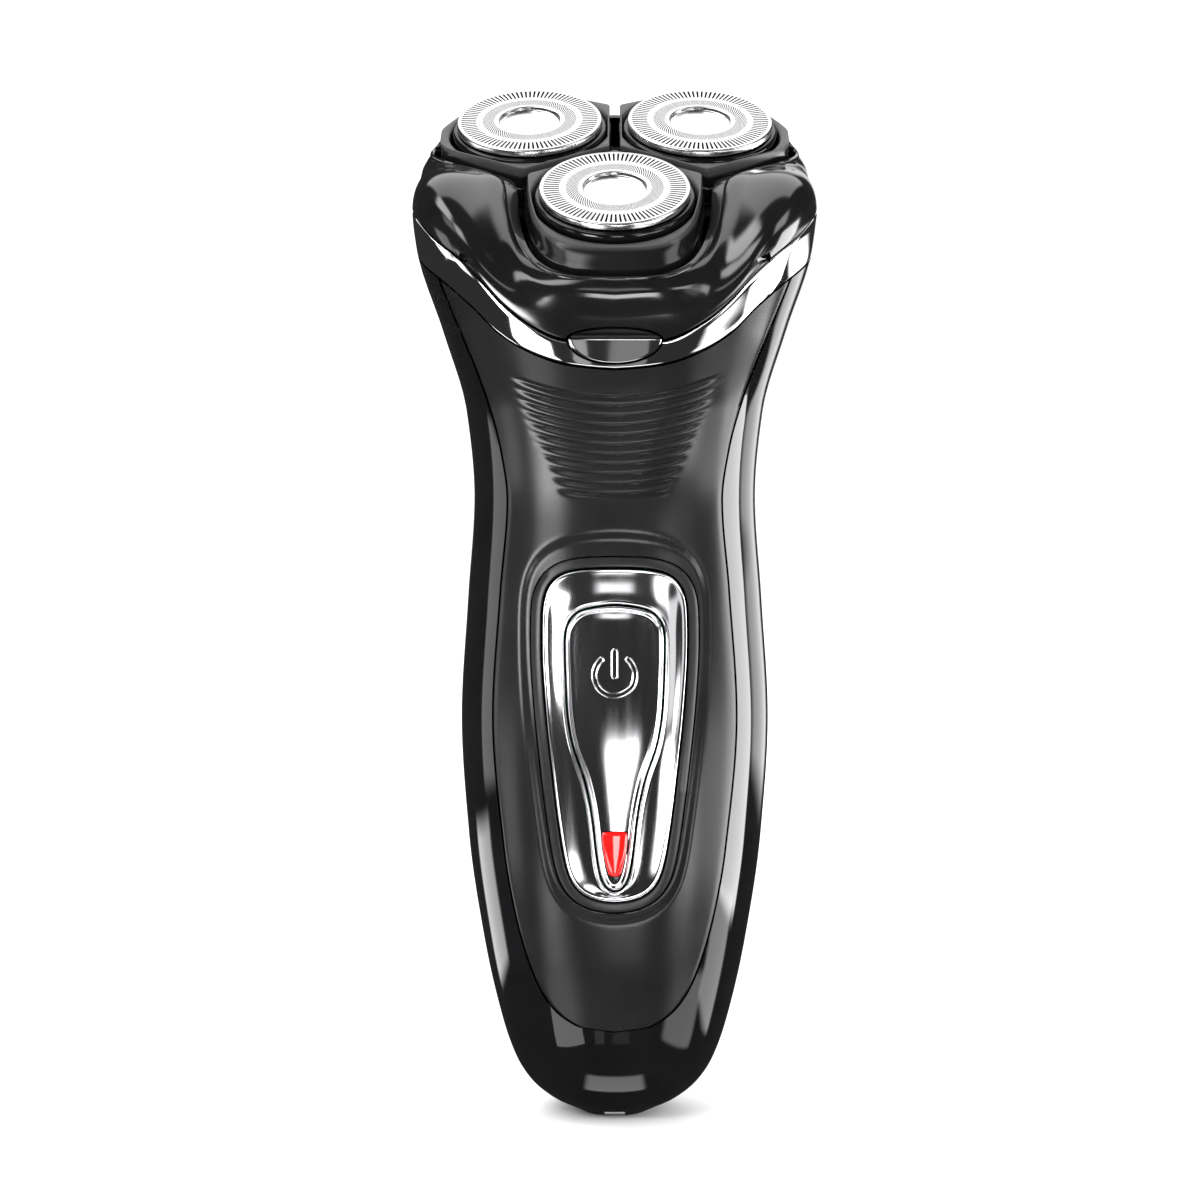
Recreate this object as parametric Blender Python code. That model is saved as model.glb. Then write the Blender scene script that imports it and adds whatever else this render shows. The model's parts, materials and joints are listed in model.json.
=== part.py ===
"""Rotary electric shaver: three floating cutting heads on a flip-open head, a two-shell handle and its drive.

The shaver stands upright: +Z up, the front with its switch faces -Y, the base is at z = 0.
Sizes below are millimetres, measured from the handle's axis. Meshes are made in metres, and moved back by
MIDDLE_Y so that the origin is at the middle of the whole shaver's footprint.
"""

import math

import bmesh
import bpy
from mathutils import Matrix, Vector

MM = 0.001
GAP = 0.3                  # clearance between touching pieces
WALL = 1.7                 # shell thickness
MIDDLE_Y = 1.6875          # middle of the whole shaver's depth, from the handle's own axis

# Outer body: height, half width, depth to the front, depth to the back.
SECTIONS = (
    (0.0, 5.0, 4.4, 4.6),
    (1.0, 7.0, 6.0, 6.2),
    (2.5, 10.0, 8.2, 8.6),
    (5.5, 13.5, 11.0, 11.6),
    (9.0, 15.7, 12.9, 13.6),
    (15.0, 17.8, 14.9, 15.8),
    (28.0, 20.7, 17.6, 18.3),
    (45.0, 23.1, 19.4, 19.8),
    (63.0, 24.15, 20.0, 20.0),
    (82.0, 23.05, 19.4, 19.0),
    (98.0, 22.0, 18.6, 18.6),
    (111.0, 23.1, 20.0, 20.3),
    (123.0, 26.5, 24.3, 25.0),
    (136.0, 30.6, 29.0, 28.8),
    (142.0, 31.2, 30.0, 29.4),
    (160.0, 30.2, 30.0, 29.2),
)
ROUND_HANDLE = 2.35        # superellipse exponent of the handle's sections
ROUND_HEAD = 2.9           # and of the head's, which are squarer
BAND_TOP = ((0, 120.7), (10, 121.3), (21.5, 124.0), (28.5, 126.6), (36, 130.4), (44, 133.5),
            (56, 136.4), (72, 139.9), (90, 142.4), (130, 146.8), (180, 149.6))
BAND_LOW = ((0, 117.0), (10, 117.7), (21.5, 119.5), (33, 122.4), (43, 126.3), (56, 130.0),
            (69, 132.4), (90, 135.5), (130, 140.4), (180, 143.6))
SHELL_SEAM = ((16.0, 0.0), (16.8, 5.6), (20.6, 10.3), (25.9, 12.9), (34.0, 15.2), (44.0, 16.9),
              (64.5, 18.6), (83.8, 17.4), (97.7, 16.3), (105.3, 17.3), (113.0, 19.4),
              (132.0, 26.8), (140.0, 29.5))

# Head: its plane leans forward, and the three cutting units stand round its centre.
HEAD_TILT = math.radians(32)
HEAD_CENTRE = Vector((0.0, 0.0, 153.0))
UNIT_RADIUS = 15.59        # unit axis to head centre, 27 mm between units
UNIT_CANT = math.radians(1.5)
UNITS = (("front", 0.0), ("left", -120.0), ("right", 120.0))
GUARD_RADIUS = 11.5
TONGUE_HALF = 15.5         # half width of the collar's opening round each unit
TONGUE_FRONT = 34.0        # reach of that opening at the front
TONGUE_REAR = 32.5         # and at the two rear units
TONGUE_ROUND = 3.5
LOBE_BLEND = 14            # the higher, the sharper the corners between the opening's lobes
SHOULDER = 29.6            # half width that the opening keeps within, so that the collar stays round there
RIM_HEIGHT = ((0, -5.3), (20, -5.0), (40, -3.5), (60, -2.1), (75, -2.2), (90, -3.0), (102, -4.8), (116, -6.8),
              (150, -6.8), (166, -4.6), (180, -4.2))    # of the collar, from the head plane, by azimuth
PETAL_GAP, PETAL_GAP_END = 1.2, 1.5        # holder's skirt to the opening, at its sides and at its end
PETAL_TOP, PETAL_FALL = -1.3, 1.1          # its top at the middle of the head, and how far it falls outwards
PETAL_STEPS = 36
HINGE_Y, HINGE_Z = 27.9, 150.9
HINGE_HALF = 11.4

# Drive, as distances along the head's axis from its plane (negative is down).
DECK_TOP, DECK_LOW = -14.4, -15.6
GEAR_TOP, GEAR_LOW = -16.2, -18.5
PLATE_TOP, PLATE_LOW = -18.9, -19.9
MOTOR_TOP, MOTOR_LOW = -20.3, -31.4
MOTOR_RADIUS = 6.5
PINION_TEETH, GEAR_TEETH = 12, 14
MODULE = 2 * UNIT_RADIUS / (PINION_TEETH + GEAR_TEETH)

# Switch panel on the front: height and half width.
PANEL = ((36.6, 0.0), (37.5, 4.4), (40.3, 6.8), (48.0, 8.3), (58.0, 9.5), (67.0, 10.4),
         (76.0, 10.9), (82.0, 10.8), (85.8, 9.4), (87.2, 5.4), (87.4, 0.0))
BUTTON = ((38.2, 0.0), (39.0, 1.4), (42.0, 2.3), (51.0, 3.4), (56.0, 4.5), (61.2, 6.3),
          (67.0, 7.1), (78.0, 7.4), (81.0, 5.6), (82.0, 0.0))
LENS = ((40.9, 0.0), (41.0, 0.8), (47.6, 1.9), (47.7, 0.0))
TRIMMER_LOW, TRIMMER_TOP, TRIMMER_HALF = 84.0, 112.0, 11.5
TRIMMER_TEETH = 10
RELEASE_Z, RELEASE_HALF, RELEASE_DOWN, RELEASE_UP = 121.6, 6.9, 3.5, 1.5    # arcs below and above its widest line
SOCKET_RADIUS = 1.9
CASE_SCREWS = (("lower", 22.0, 22.0), ("upper", 121.5, 5.0))    # name, height, length

bodies = {}


# ---------------------------------------------------------------- curves

def curve_value(table, x):
    """Smooth value at x of a curve through the table's points, with no overshoot."""
    xs = [p[0] for p in table]
    ys = [p[1] for p in table]
    if x <= xs[0]:
        return ys[0]
    if x >= xs[-1]:
        return ys[-1]
    i = max(k for k in range(len(xs) - 1) if xs[k] <= x)
    slope = [(ys[k + 1] - ys[k]) / (xs[k + 1] - xs[k]) for k in range(len(xs) - 1)]

    def tangent(k):
        if k == 0 or k == len(xs) - 1:
            return slope[min(k, len(slope) - 1)]
        if slope[k - 1] * slope[k] <= 0:
            return 0.0
        return 2 * slope[k - 1] * slope[k] / (slope[k - 1] + slope[k])

    h = xs[i + 1] - xs[i]
    t = (x - xs[i]) / h
    return (ys[i] * (2 * t**3 - 3 * t**2 + 1) + tangent(i) * h * (t**3 - 2 * t**2 + t)
            + ys[i + 1] * (3 * t**2 - 2 * t**3) + tangent(i + 1) * h * (t**3 - t**2))


def section(z):
    """Half width, front depth, back depth and roundness of the body at height z."""
    half = curve_value([(s[0], s[1]) for s in SECTIONS], z)
    front = curve_value([(s[0], s[2]) for s in SECTIONS], z)
    back = curve_value([(s[0], s[3]) for s in SECTIONS], z)
    blend = min(1.0, max(0.0, (z - 95) / 30))
    blend = blend * blend * (3 - 2 * blend)
    return half, front, back, ROUND_HANDLE + (ROUND_HEAD - ROUND_HANDLE) * blend


def body_point(angle, z, inset=0.0):
    """Point of the body's surface: angle 0 is the front, 90 is +X, 180 the back."""
    half, front, back, power = section(z)
    s = math.sin(math.radians(angle))
    c = math.cos(math.radians(angle))
    depth = front if c >= 0 else back
    x = (half - inset) * math.copysign(abs(s) ** (2 / power), s)
    y = -(depth - inset) * math.copysign(abs(c) ** (2 / power), c)
    return Vector((x, y, z))


def surface_y(x, z, side):
    """Depth of the body's surface at x, z: side -1 is the front, +1 the back."""
    half, front, back, power = section(z)
    depth = front if side < 0 else back
    return side * depth * (1 - min(0.98, abs(x) / half) ** power) ** (1 / power)


def edge_height(table, angle):
    """Height of the band's edge at an angle round the body."""
    angle = abs((angle + 180) % 360 - 180)
    return curve_value(table, angle)


def head_matrix(azimuth=0.0, radius=0.0, cant=0.0):
    """Frame on the head plane: local -Y points outwards at the azimuth, local Z along the axis."""
    lean = Matrix.Translation(HEAD_CENTRE) @ Matrix.Rotation(HEAD_TILT, 4, 'X')
    turn = Matrix.Rotation(math.radians(azimuth), 4, 'Z')
    return lean @ turn @ Matrix.Translation((0, -radius, 0)) @ Matrix.Rotation(cant, 4, 'X')


def tongue_radius(azimuth, trim=0.0):
    """Radius in the head plane of the three-lobed opening, made smaller by trim."""
    half = TONGUE_HALF - trim
    p = TONGUE_ROUND
    total = 0.0
    for _, turn in UNITS:
        off = math.radians(azimuth - turn)
        reach = (TONGUE_FRONT if turn == 0 else TONGUE_REAR) - trim
        if math.cos(off) > 0:
            lobe = ((abs(math.sin(off)) / half) ** p + (math.cos(off) / reach) ** p) ** (-1 / p)
            total += lobe ** LOBE_BLEND
    limit = (SHOULDER - trim) / max(abs(math.sin(math.radians(azimuth))), 0.05)
    return (total ** (-24 / LOBE_BLEND) + limit ** -24) ** (-1 / 24)


def rim_point(angle, trim=0.0, drop=0.0):
    """Point of the collar's upper rim."""
    radius = tongue_radius(angle, trim)
    a = math.radians(angle)
    low = edge_height(RIM_HEIGHT, angle) - drop
    return head_matrix() @ Vector((radius * math.sin(a), -radius * math.cos(a), low))


# ---------------------------------------------------------------- meshes

def material(name, colour, roughness, metallic=0.0):
    m = bpy.data.materials.new(name)
    m.use_nodes = True
    shader = m.node_tree.nodes["Principled BSDF"]
    shader.inputs["Base Color"].default_value = (*colour, 1)
    shader.inputs["Roughness"].default_value = roughness
    shader.inputs["Metallic"].default_value = metallic
    return m


def finish(name, mesh, body, look):
    """Puts a bmesh in millimetres into the scene as one named object on its body's empty."""
    bmesh.ops.recalc_face_normals(mesh, faces=mesh.faces)
    bmesh.ops.translate(mesh, vec=(0, -MIDDLE_Y, 0), verts=mesh.verts)
    bmesh.ops.scale(mesh, vec=(MM, MM, MM), verts=mesh.verts)
    data = bpy.data.meshes.new(name)
    mesh.to_mesh(data)
    mesh.free()
    data.shade_smooth()
    data.set_sharp_from_angle(angle=math.radians(35))
    obj = bpy.data.objects.new(name, data)
    bpy.context.scene.collection.objects.link(obj)
    if body:
        obj.parent = bodies[body]
        obj.matrix_parent_inverse = bodies[body].matrix_world.inverted()
        data.materials.append(LOOKS[look])
    else:
        obj.hide_render = True
        obj.display_type = 'WIRE'
    return obj


def loops_mesh(loops, ring=False):
    """Closed mesh through loops of equal length. A ring joins its last loop to its first."""
    mesh = bmesh.new()
    rows = [[mesh.verts.new(p) for p in loop] for loop in loops]
    count = len(rows[0])
    pairs = list(zip(rows, rows[1:] + rows[:1])) if ring else list(zip(rows, rows[1:]))
    for low, high in pairs:
        for i in range(count):
            j = (i + 1) % count
            mesh.faces.new((low[i], low[j], high[j], high[i]))
    if not ring:
        for row in (rows[0], rows[-1]):
            centre = mesh.verts.new(sum((v.co for v in row), Vector()) / count)
            for i in range(count):
                mesh.faces.new((row[i], row[(i + 1) % count], centre))
    return mesh


def loops_solid(name, loops, body, look, ring=False):
    return finish(name, loops_mesh(loops, ring), body, look)


def circle(matrix, radius, low, count, phase=0.0):
    """Circle of points at a height of the given frame."""
    turn = 2 * math.pi / count
    return [matrix @ Vector((radius * math.sin(i * turn + phase), -radius * math.cos(i * turn + phase), low))
            for i in range(count)]


def turned(name, matrix, profile, body, look, count=24, ring=False):
    """Solid of revolution about the frame's Z through (radius, height) points."""
    loops = [circle(matrix, r, h, count) for r, h in profile]
    return loops_solid(name, loops, body, look, ring)


def block(name, low, high, body, look, matrix=None):
    """Box between two corners, in the given frame."""
    mesh = bmesh.new()
    size = Vector(high) - Vector(low)
    bmesh.ops.create_cube(mesh, size=1)
    bmesh.ops.scale(mesh, vec=size, verts=mesh.verts)
    bmesh.ops.translate(mesh, vec=(Vector(high) + Vector(low)) / 2, verts=mesh.verts)
    if matrix:
        bmesh.ops.transform(mesh, matrix=matrix, verts=mesh.verts)
    return finish(name, mesh, body, look)


def prism(name, outline, low, high, body, look, place):
    """Outline swept between two depths. place turns (a, b, depth) into a point."""
    loops = [[place(a, b, depth) for a, b in outline] for depth in (low, high)]
    return loops_solid(name, loops, body, look)


def along_y(a, b, depth):
    return Vector((a, depth, b))


def along_x(a, b, depth):
    return Vector((depth, a, b))


def cut(target, tool, operation='DIFFERENCE'):
    modifier = target.modifiers.new(tool.name, 'BOOLEAN')
    modifier.operation = operation
    modifier.solver = 'EXACT'
    modifier.object = tool


# ---------------------------------------------------------------- outlines in the front plane

def mirrored_outline(table, grow=0.0, steps=12):
    """Closed outline, symmetric in x, of a (height, half width) table that is 0 at both ends."""
    low, high = table[0][0], table[-1][0]
    middle = (low + high) / 2
    half_height = (high - low) / 2
    right = []
    for i in range(steps + 1):
        a = math.pi * i / steps
        z = middle - half_height * math.cos(a)
        right.append((curve_value(table, z), z))
    right[0] = (0.0, low)
    right[-1] = (0.0, high)
    stretch = 1 + grow / half_height
    right = [(x + grow * math.sin(math.pi * i / steps) ** 0.5 if 0 < i < steps else 0.0,
              middle + (z - middle) * stretch) for i, (x, z) in enumerate(right)]
    left = [(-x, z) for x, z in reversed(right[1:-1])]
    return right + left


def rounded_box(half, low, high, power=5.0, count=24):
    """Superellipse outline in the X, Z plane."""
    points = []
    for i in range(count):
        a = 2 * math.pi * i / count
        s, c = math.sin(a), math.cos(a)
        points.append((half * math.copysign(abs(s) ** (2 / power), s),
                       (low + high) / 2 - (high - low) / 2 * math.copysign(abs(c) ** (2 / power), c)))
    return points


def release_outline(grow=0.0, count=28):
    """Half moon with a deep arc below its widest line and a shallow one above."""
    points = []
    for i in range(count):
        a = 2 * math.pi * i / count
        tall = RELEASE_DOWN if math.cos(a) > 0 else RELEASE_UP
        points.append(((RELEASE_HALF + grow) * math.sin(a), RELEASE_Z - (tall + grow) * math.cos(a)))
    return points


def on_skin(outline, lift, side, scale=1.0):
    """Outline laid on the body's surface, raised by lift, shrunk towards its centre by scale."""
    cz = sum(p[1] for p in outline) / len(outline)
    points = []
    for x, z in outline:
        x, z = x * scale, cz + (z - cz) * scale
        points.append(Vector((x, surface_y(x, z, side) + side * lift, z)))
    return points


def inlay(name, outline, top, low, body, look, side=-1, hole=None):
    """Plate that follows the body's surface between two heights above it, with an optional hole."""
    if hole:
        loops = [on_skin(outline, low, side), on_skin(outline, top, side),
                 on_skin(hole, top, side), on_skin(hole, low, side)]
        return loops_solid(name, loops, body, look, ring=True)
    loops = [on_skin(outline, low, side, 0.5), on_skin(outline, low, side),
             on_skin(outline, top, side), on_skin(outline, top, side, 0.5)]
    return loops_solid(name, loops, body, look)


# ---------------------------------------------------------------- shells

ANGLES_HANDLE = [360 * i / 40 for i in range(40)]
ANGLES_HEAD = [360 * i / 72 for i in range(72)]


def handle_mesh():
    """The whole handle as one thin cup with the socket's hole in its flat base."""
    rows, inner_rows = 16, 7
    loops = [[Vector((SOCKET_RADIUS * math.sin(math.radians(a)),
                      -SOCKET_RADIUS * math.cos(math.radians(a)), z)) for a in ANGLES_HANDLE]
             for z in (WALL, 0.0)]
    for r in range(rows + 1):
        part = (r / rows) ** 1.6
        loops.append([body_point(a, edge_height(BAND_LOW, a) * part) for a in ANGLES_HANDLE])
    for r in range(inner_rows, -1, -1):
        part = (r / inner_rows) ** 1.5
        loops.append([body_point(a, WALL + (edge_height(BAND_LOW, a) - WALL) * part, WALL)
                      for a in ANGLES_HANDLE])
    return loops_mesh(loops, ring=True)


def seam_outline(grow):
    """Outline of the front shell seen from the front."""
    low, high = SHELL_SEAM[0][0], SHELL_SEAM[-1][0]
    right = [(0.0, low - grow)]
    for i in range(1, 25):
        z = low + (high - low) * (i / 24) ** 1.5
        right.append((curve_value(SHELL_SEAM, z) + grow, z))
    return right + [(-x, z) for x, z in reversed(right[1:])]


def screw_frame(z):
    """Frame on the back surface whose Z points forwards, into the handle."""
    return Matrix.Translation((0, surface_y(0, z, 1), z)) @ Matrix.Rotation(math.pi / 2, 4, 'X')


def make_handle():
    """Front shell and back shell: one cup, parted along the seam."""
    opening = prism("cut_seam_back", seam_outline(GAP / 2), -60, -4, None, None, along_y)
    keep = prism("cut_seam_front", seam_outline(-GAP / 2), -60, -4, None, None, along_y)
    back = finish("back_shell", handle_mesh(), "handle", "gloss_black")
    cut(back, opening)
    front = finish("front_shell", handle_mesh(), "handle", "satin_black")
    cut(front, keep, 'INTERSECT')
    bezel_hole = prism("cut_bezel", mirrored_outline(PANEL, 2.1), -30, -8, None, None, along_y)
    cut(front, bezel_hole)
    tray_hole = prism("cut_trimmer", rounded_box(TRIMMER_HALF + 0.8, TRIMMER_LOW - 0.8, TRIMMER_TOP + 0.8),
                      10, 30, None, None, along_y)
    cut(back, tray_hole)
    slot = block("cut_slider", (-1.7, 10, 67.6), (1.7, 30, 76.8), None, None)
    cut(back, slot)
    for name, z, _ in CASE_SCREWS:
        cut(back, turned(f"cut_screw_{name}", screw_frame(z), ((2.0, -2.0), (2.0, 0.8), (1.3, 0.8), (1.3, 6.0)),
                         None, None, 12))


def make_band():
    """Chrome trim ring between handle and head, with the release button's opening."""
    tool = prism("cut_release", release_outline(GAP), -40, -15, None, None, along_y)
    loops = []
    for part, inset in ((0, 0), (0.5, 0), (1, 0), (1, WALL), (0, WALL)):
        loop = []
        for a in ANGLES_HEAD:
            low = edge_height(BAND_LOW, a) + GAP
            high = edge_height(BAND_TOP, a)
            loop.append(body_point(a, low + (high - low) * part, inset))
        loops.append(loop)
    band = loops_solid("chrome_band", loops, "handle", "chrome", ring=True)
    cut(band, tool)
    return tool


def collar_row(part, inset):
    """One row of the collar, from the band (part 0) to the rim (part 1)."""
    loop = []
    for a in ANGLES_HEAD:
        z = edge_height(BAND_TOP, a) + GAP
        start = body_point(a, z, inset)
        above = body_point(a, z + 2, inset)
        rim = rim_point(a, inset * 0.35, inset * 0.15)
        control = start + (above - start).normalized() * (rim - start).length * 0.6
        loop.append(start * (1 - part) ** 2 + control * 2 * part * (1 - part) + rim * part ** 2)
    return loop


def make_collar(release_tool):
    """Head housing: the collar that carries the three units and swings on the hinge."""
    loops = [collar_row(r / 4, 0) for r in range(5)]
    loops += [collar_row(r / 4, WALL) for r in range(4, -1, -1)]
    collar = loops_solid("head_housing", loops, "head", "gloss_black", ring=True)
    cut(collar, release_tool)
    notch = block("cut_hinge", (-HINGE_HALF - GAP, 22, 140), (HINGE_HALF + GAP, 40, HINGE_Z + 2.1), None, None)
    cut(collar, notch)


# ---------------------------------------------------------------- head

def petal_outline(azimuth, half, reach, seam):
    """Outline of one holder in its own frame, seen from its axis: rays cut the lobe and the two seams."""
    def inside(x, v):
        if v <= 0:
            return False
        if abs(x) * math.cos(math.radians(60)) > v * math.sin(math.radians(60)) - seam:
            return False
        if abs(v * math.sin(math.radians(azimuth)) + x * math.cos(math.radians(azimuth))) > SHOULDER - PETAL_GAP_END:
            return False
        return (abs(x) / half) ** TONGUE_ROUND + (v / reach) ** TONGUE_ROUND < 1

    points = []
    for i in range(PETAL_STEPS):
        a = 2 * math.pi * i / PETAL_STEPS
        low, high = 0.0, 40.0
        for _ in range(30):
            r = (low + high) / 2
            if inside(r * math.sin(a), UNIT_RADIUS + r * math.cos(a)):
                low = r
            else:
                high = r
        points.append((low * math.sin(a), -low * math.cos(a)))
    return points


def petal_top(y):
    """Height of a holder's top in its own frame: it falls away from the middle of the head."""
    share = min(1.0, max(0.0, (UNIT_RADIUS - y - 14.0) / 15.0))
    return PETAL_TOP - PETAL_FALL * share * share * (3 - 2 * share)


def make_petal(name, azimuth):
    """Tilting holder of one unit: a plate with a skirt and a round opening."""
    reach = (TONGUE_FRONT if azimuth == 0 else TONGUE_REAR) - PETAL_GAP_END
    chin = 3.2 if azimuth == 0 else 1.6
    frame = head_matrix(azimuth, UNIT_RADIUS, UNIT_CANT)
    skirt = petal_outline(azimuth, TONGUE_HALF - PETAL_GAP, reach, 0.7)
    top = petal_outline(azimuth, TONGUE_HALF - PETAL_GAP - 0.7, reach - chin, 0.9)
    opening = [(12.6 * math.sin(2 * math.pi * i / PETAL_STEPS), -12.6 * math.cos(2 * math.pi * i / PETAL_STEPS))
               for i in range(PETAL_STEPS)]
    loops = [[frame @ Vector((x, y, w)) for x, y in skirt] for w in (-7.0, -4.6)]
    loops += [[frame @ Vector((x, y, petal_top(y))) for x, y in outline] for outline in (top, opening)]
    loops.append([frame @ Vector((x, y, -7.0)) for x, y in opening])
    loops_solid(f"petal_{name}", loops, f"petal_{name}", "satin_black", ring=True)


def make_unit(name, azimuth):
    """Guard, its ring and the cutter of one unit."""
    frame = head_matrix(azimuth, UNIT_RADIUS, UNIT_CANT)
    guard = ((4.6, -0.9), (5.4, 0.0), (11.2, 0.0), (GUARD_RADIUS, -0.3), (GUARD_RADIUS, -0.95),
             (10.6, -0.95), (10.6, -3.6), (10.3, -3.6), (10.3, -0.4), (5.6, -0.4), (4.9, -1.25))
    turned(f"guard_{name}", frame, guard, f"guard_{name}", "steel", 24)
    ring = ((10.9, -1.25), (11.9, -1.25), (12.2, -1.6), (12.2, -5.0), (10.9, -5.0))
    turned(f"guard_ring_{name}", frame, ring, f"guard_{name}", "gloss_black", 24, ring=True)
    teeth = 9
    star = [(9.95 if i % 4 in (1, 2) else 8.0) for i in range(teeth * 4)]

    def star_loop(w):
        return [frame @ Vector((r * math.sin(2 * math.pi * i / len(star)), -r * math.cos(2 * math.pi * i / len(star)), w))
                for i, r in enumerate(star)]

    count = len(star)
    loops = [circle(frame, 2.2, -3.6, count), circle(frame, 2.2, -8.2, count), circle(frame, 3.0, -8.2, count),
             circle(frame, 3.0, -3.4, count), star_loop(-2.6), star_loop(-0.7), circle(frame, 6.4, -0.7, count),
             circle(frame, 5.9, -2.0, count)]
    loops_solid(f"cutter_{name}", loops, f"cutter_{name}", "steel")


def lobed_outline(half, front, rear, count=30):
    """Three-lobed outline of the plates inside the head."""
    points = []
    for i in range(count):
        azimuth = 360 * i / count
        lobe = min((abs((azimuth - a + 180) % 360 - 180), a) for _, a in UNITS)
        off = math.radians(lobe[0])
        reach = front if lobe[1] == 0 else rear
        r = ((math.sin(off) / half) ** 3 + (math.cos(off) / reach) ** 3) ** (-1 / 3)
        a = math.radians(azimuth)
        points.append((r * math.sin(a), -r * math.cos(a)))
    return points


def head_place(a, b, depth):
    return head_matrix() @ Vector((a, b, depth))


def make_head_inside():
    """Frame under the units, the retaining plate and its lock knob."""
    frame = prism("head_frame", lobed_outline(13.2, 27.5, 24.0), -9.4, -8.3, "head", "grey_plastic", head_place)
    plate = prism("retaining_plate", lobed_outline(11.6, 24.0, 22.0), -10.9, -9.7, "head", "grey_plastic", head_place)
    for name, azimuth in UNITS:
        tool = turned(f"cut_frame_{name}", head_matrix(azimuth, UNIT_RADIUS), ((5.2, -12.0), (5.2, -7.0)),
                      None, None, 14)
        cut(frame, tool)
        cut(plate, tool)
    centre = turned("cut_knob_shaft", head_matrix(), ((1.9, -12.0), (1.9, -7.0)), None, None, 10)
    cut(frame, centre)
    cut(plate, centre)
    knob = ((5.4, -13.2), (5.4, -11.3), (1.6, -11.2), (1.6, -8.6))
    turned("lock_knob", head_matrix(), knob, "lock_knob", "grey_plastic", 16)


# ---------------------------------------------------------------- hinge

def make_hinge():
    """Rear hinge: a barrel on the handle, two lugs on the head and the pin through them."""
    axis = Matrix.Translation((0, HINGE_Y, HINGE_Z)) @ Matrix.Rotation(math.pi / 2, 4, 'Y')
    bore = turned("cut_hinge_bore", axis, ((0.8, -20), (0.8, 20)), None, None, 10)

    def round_with_arm(y0, y1, reach):
        points = []
        for i in range(9):
            a = math.pi * i / 8
            side = 1 if reach > 0 else -1
            points.append((HINGE_Y + 1.5 * math.cos(a), HINGE_Z - side * 1.5 * math.sin(a)))
        return points + [(y0, HINGE_Z + reach), (y1, HINGE_Z + reach)]

    barrel = prism("hinge_barrel", round_with_arm(HINGE_Y - 1.5, HINGE_Y - 2.6 + 2.2, -1.15),
                   -7.7, 7.7, "handle", "grey_plastic", along_x)
    cut(barrel, bore)
    for name, x in (("left", -9.7), ("right", 9.7)):
        lug = prism(f"hinge_lug_{name}", round_with_arm(HINGE_Y - 1.5, HINGE_Y + 1.5, 1.7),
                    x - 1.6, x + 1.6, "head", "grey_plastic", along_x)
        cut(lug, bore)
    turned("hinge_pin", axis, ((0.7, -11.2), (0.7, 11.2)), "handle", "steel", 10)


# ---------------------------------------------------------------- drive

def plane_outline(depth, inset, count=32):
    """Outline of the handle's inside where the head plane, lowered to depth, cuts it."""
    points = []
    for i in range(count):
        a = 2 * math.pi * i / count
        low, high = 0.0, 45.0
        for _ in range(24):
            r = (low + high) / 2
            p = head_place(r * math.sin(a), -r * math.cos(a), depth)
            half, front, back, power = section(p.z)
            depth_y = front if p.y < 0 else back
            value = (abs(p.x) / (half - inset)) ** power + (abs(p.y) / (depth_y - inset)) ** power
            if value < 1:
                low = r
            else:
                high = r
        points.append((low * math.sin(a), -low * math.cos(a)))
    return points


SCREW_PLACES = ((60, 19.5), (-60, 19.5), (180, 15.5))


def gear_loop(matrix, teeth, height, phase):
    """Trapezoid teeth round a pitch circle."""
    pitch = MODULE * teeth / 2
    root, tip = pitch - 1.05 * MODULE, pitch + 0.75 * MODULE
    step = 2 * math.pi / teeth
    points = []
    for i in range(teeth):
        for share, radius in ((-0.27, root), (-0.09, tip), (0.09, tip), (0.27, root)):
            a = phase + (i + share) * step
            points.append(matrix @ Vector((radius * math.sin(a), -radius * math.cos(a), height)))
    return points


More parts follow.
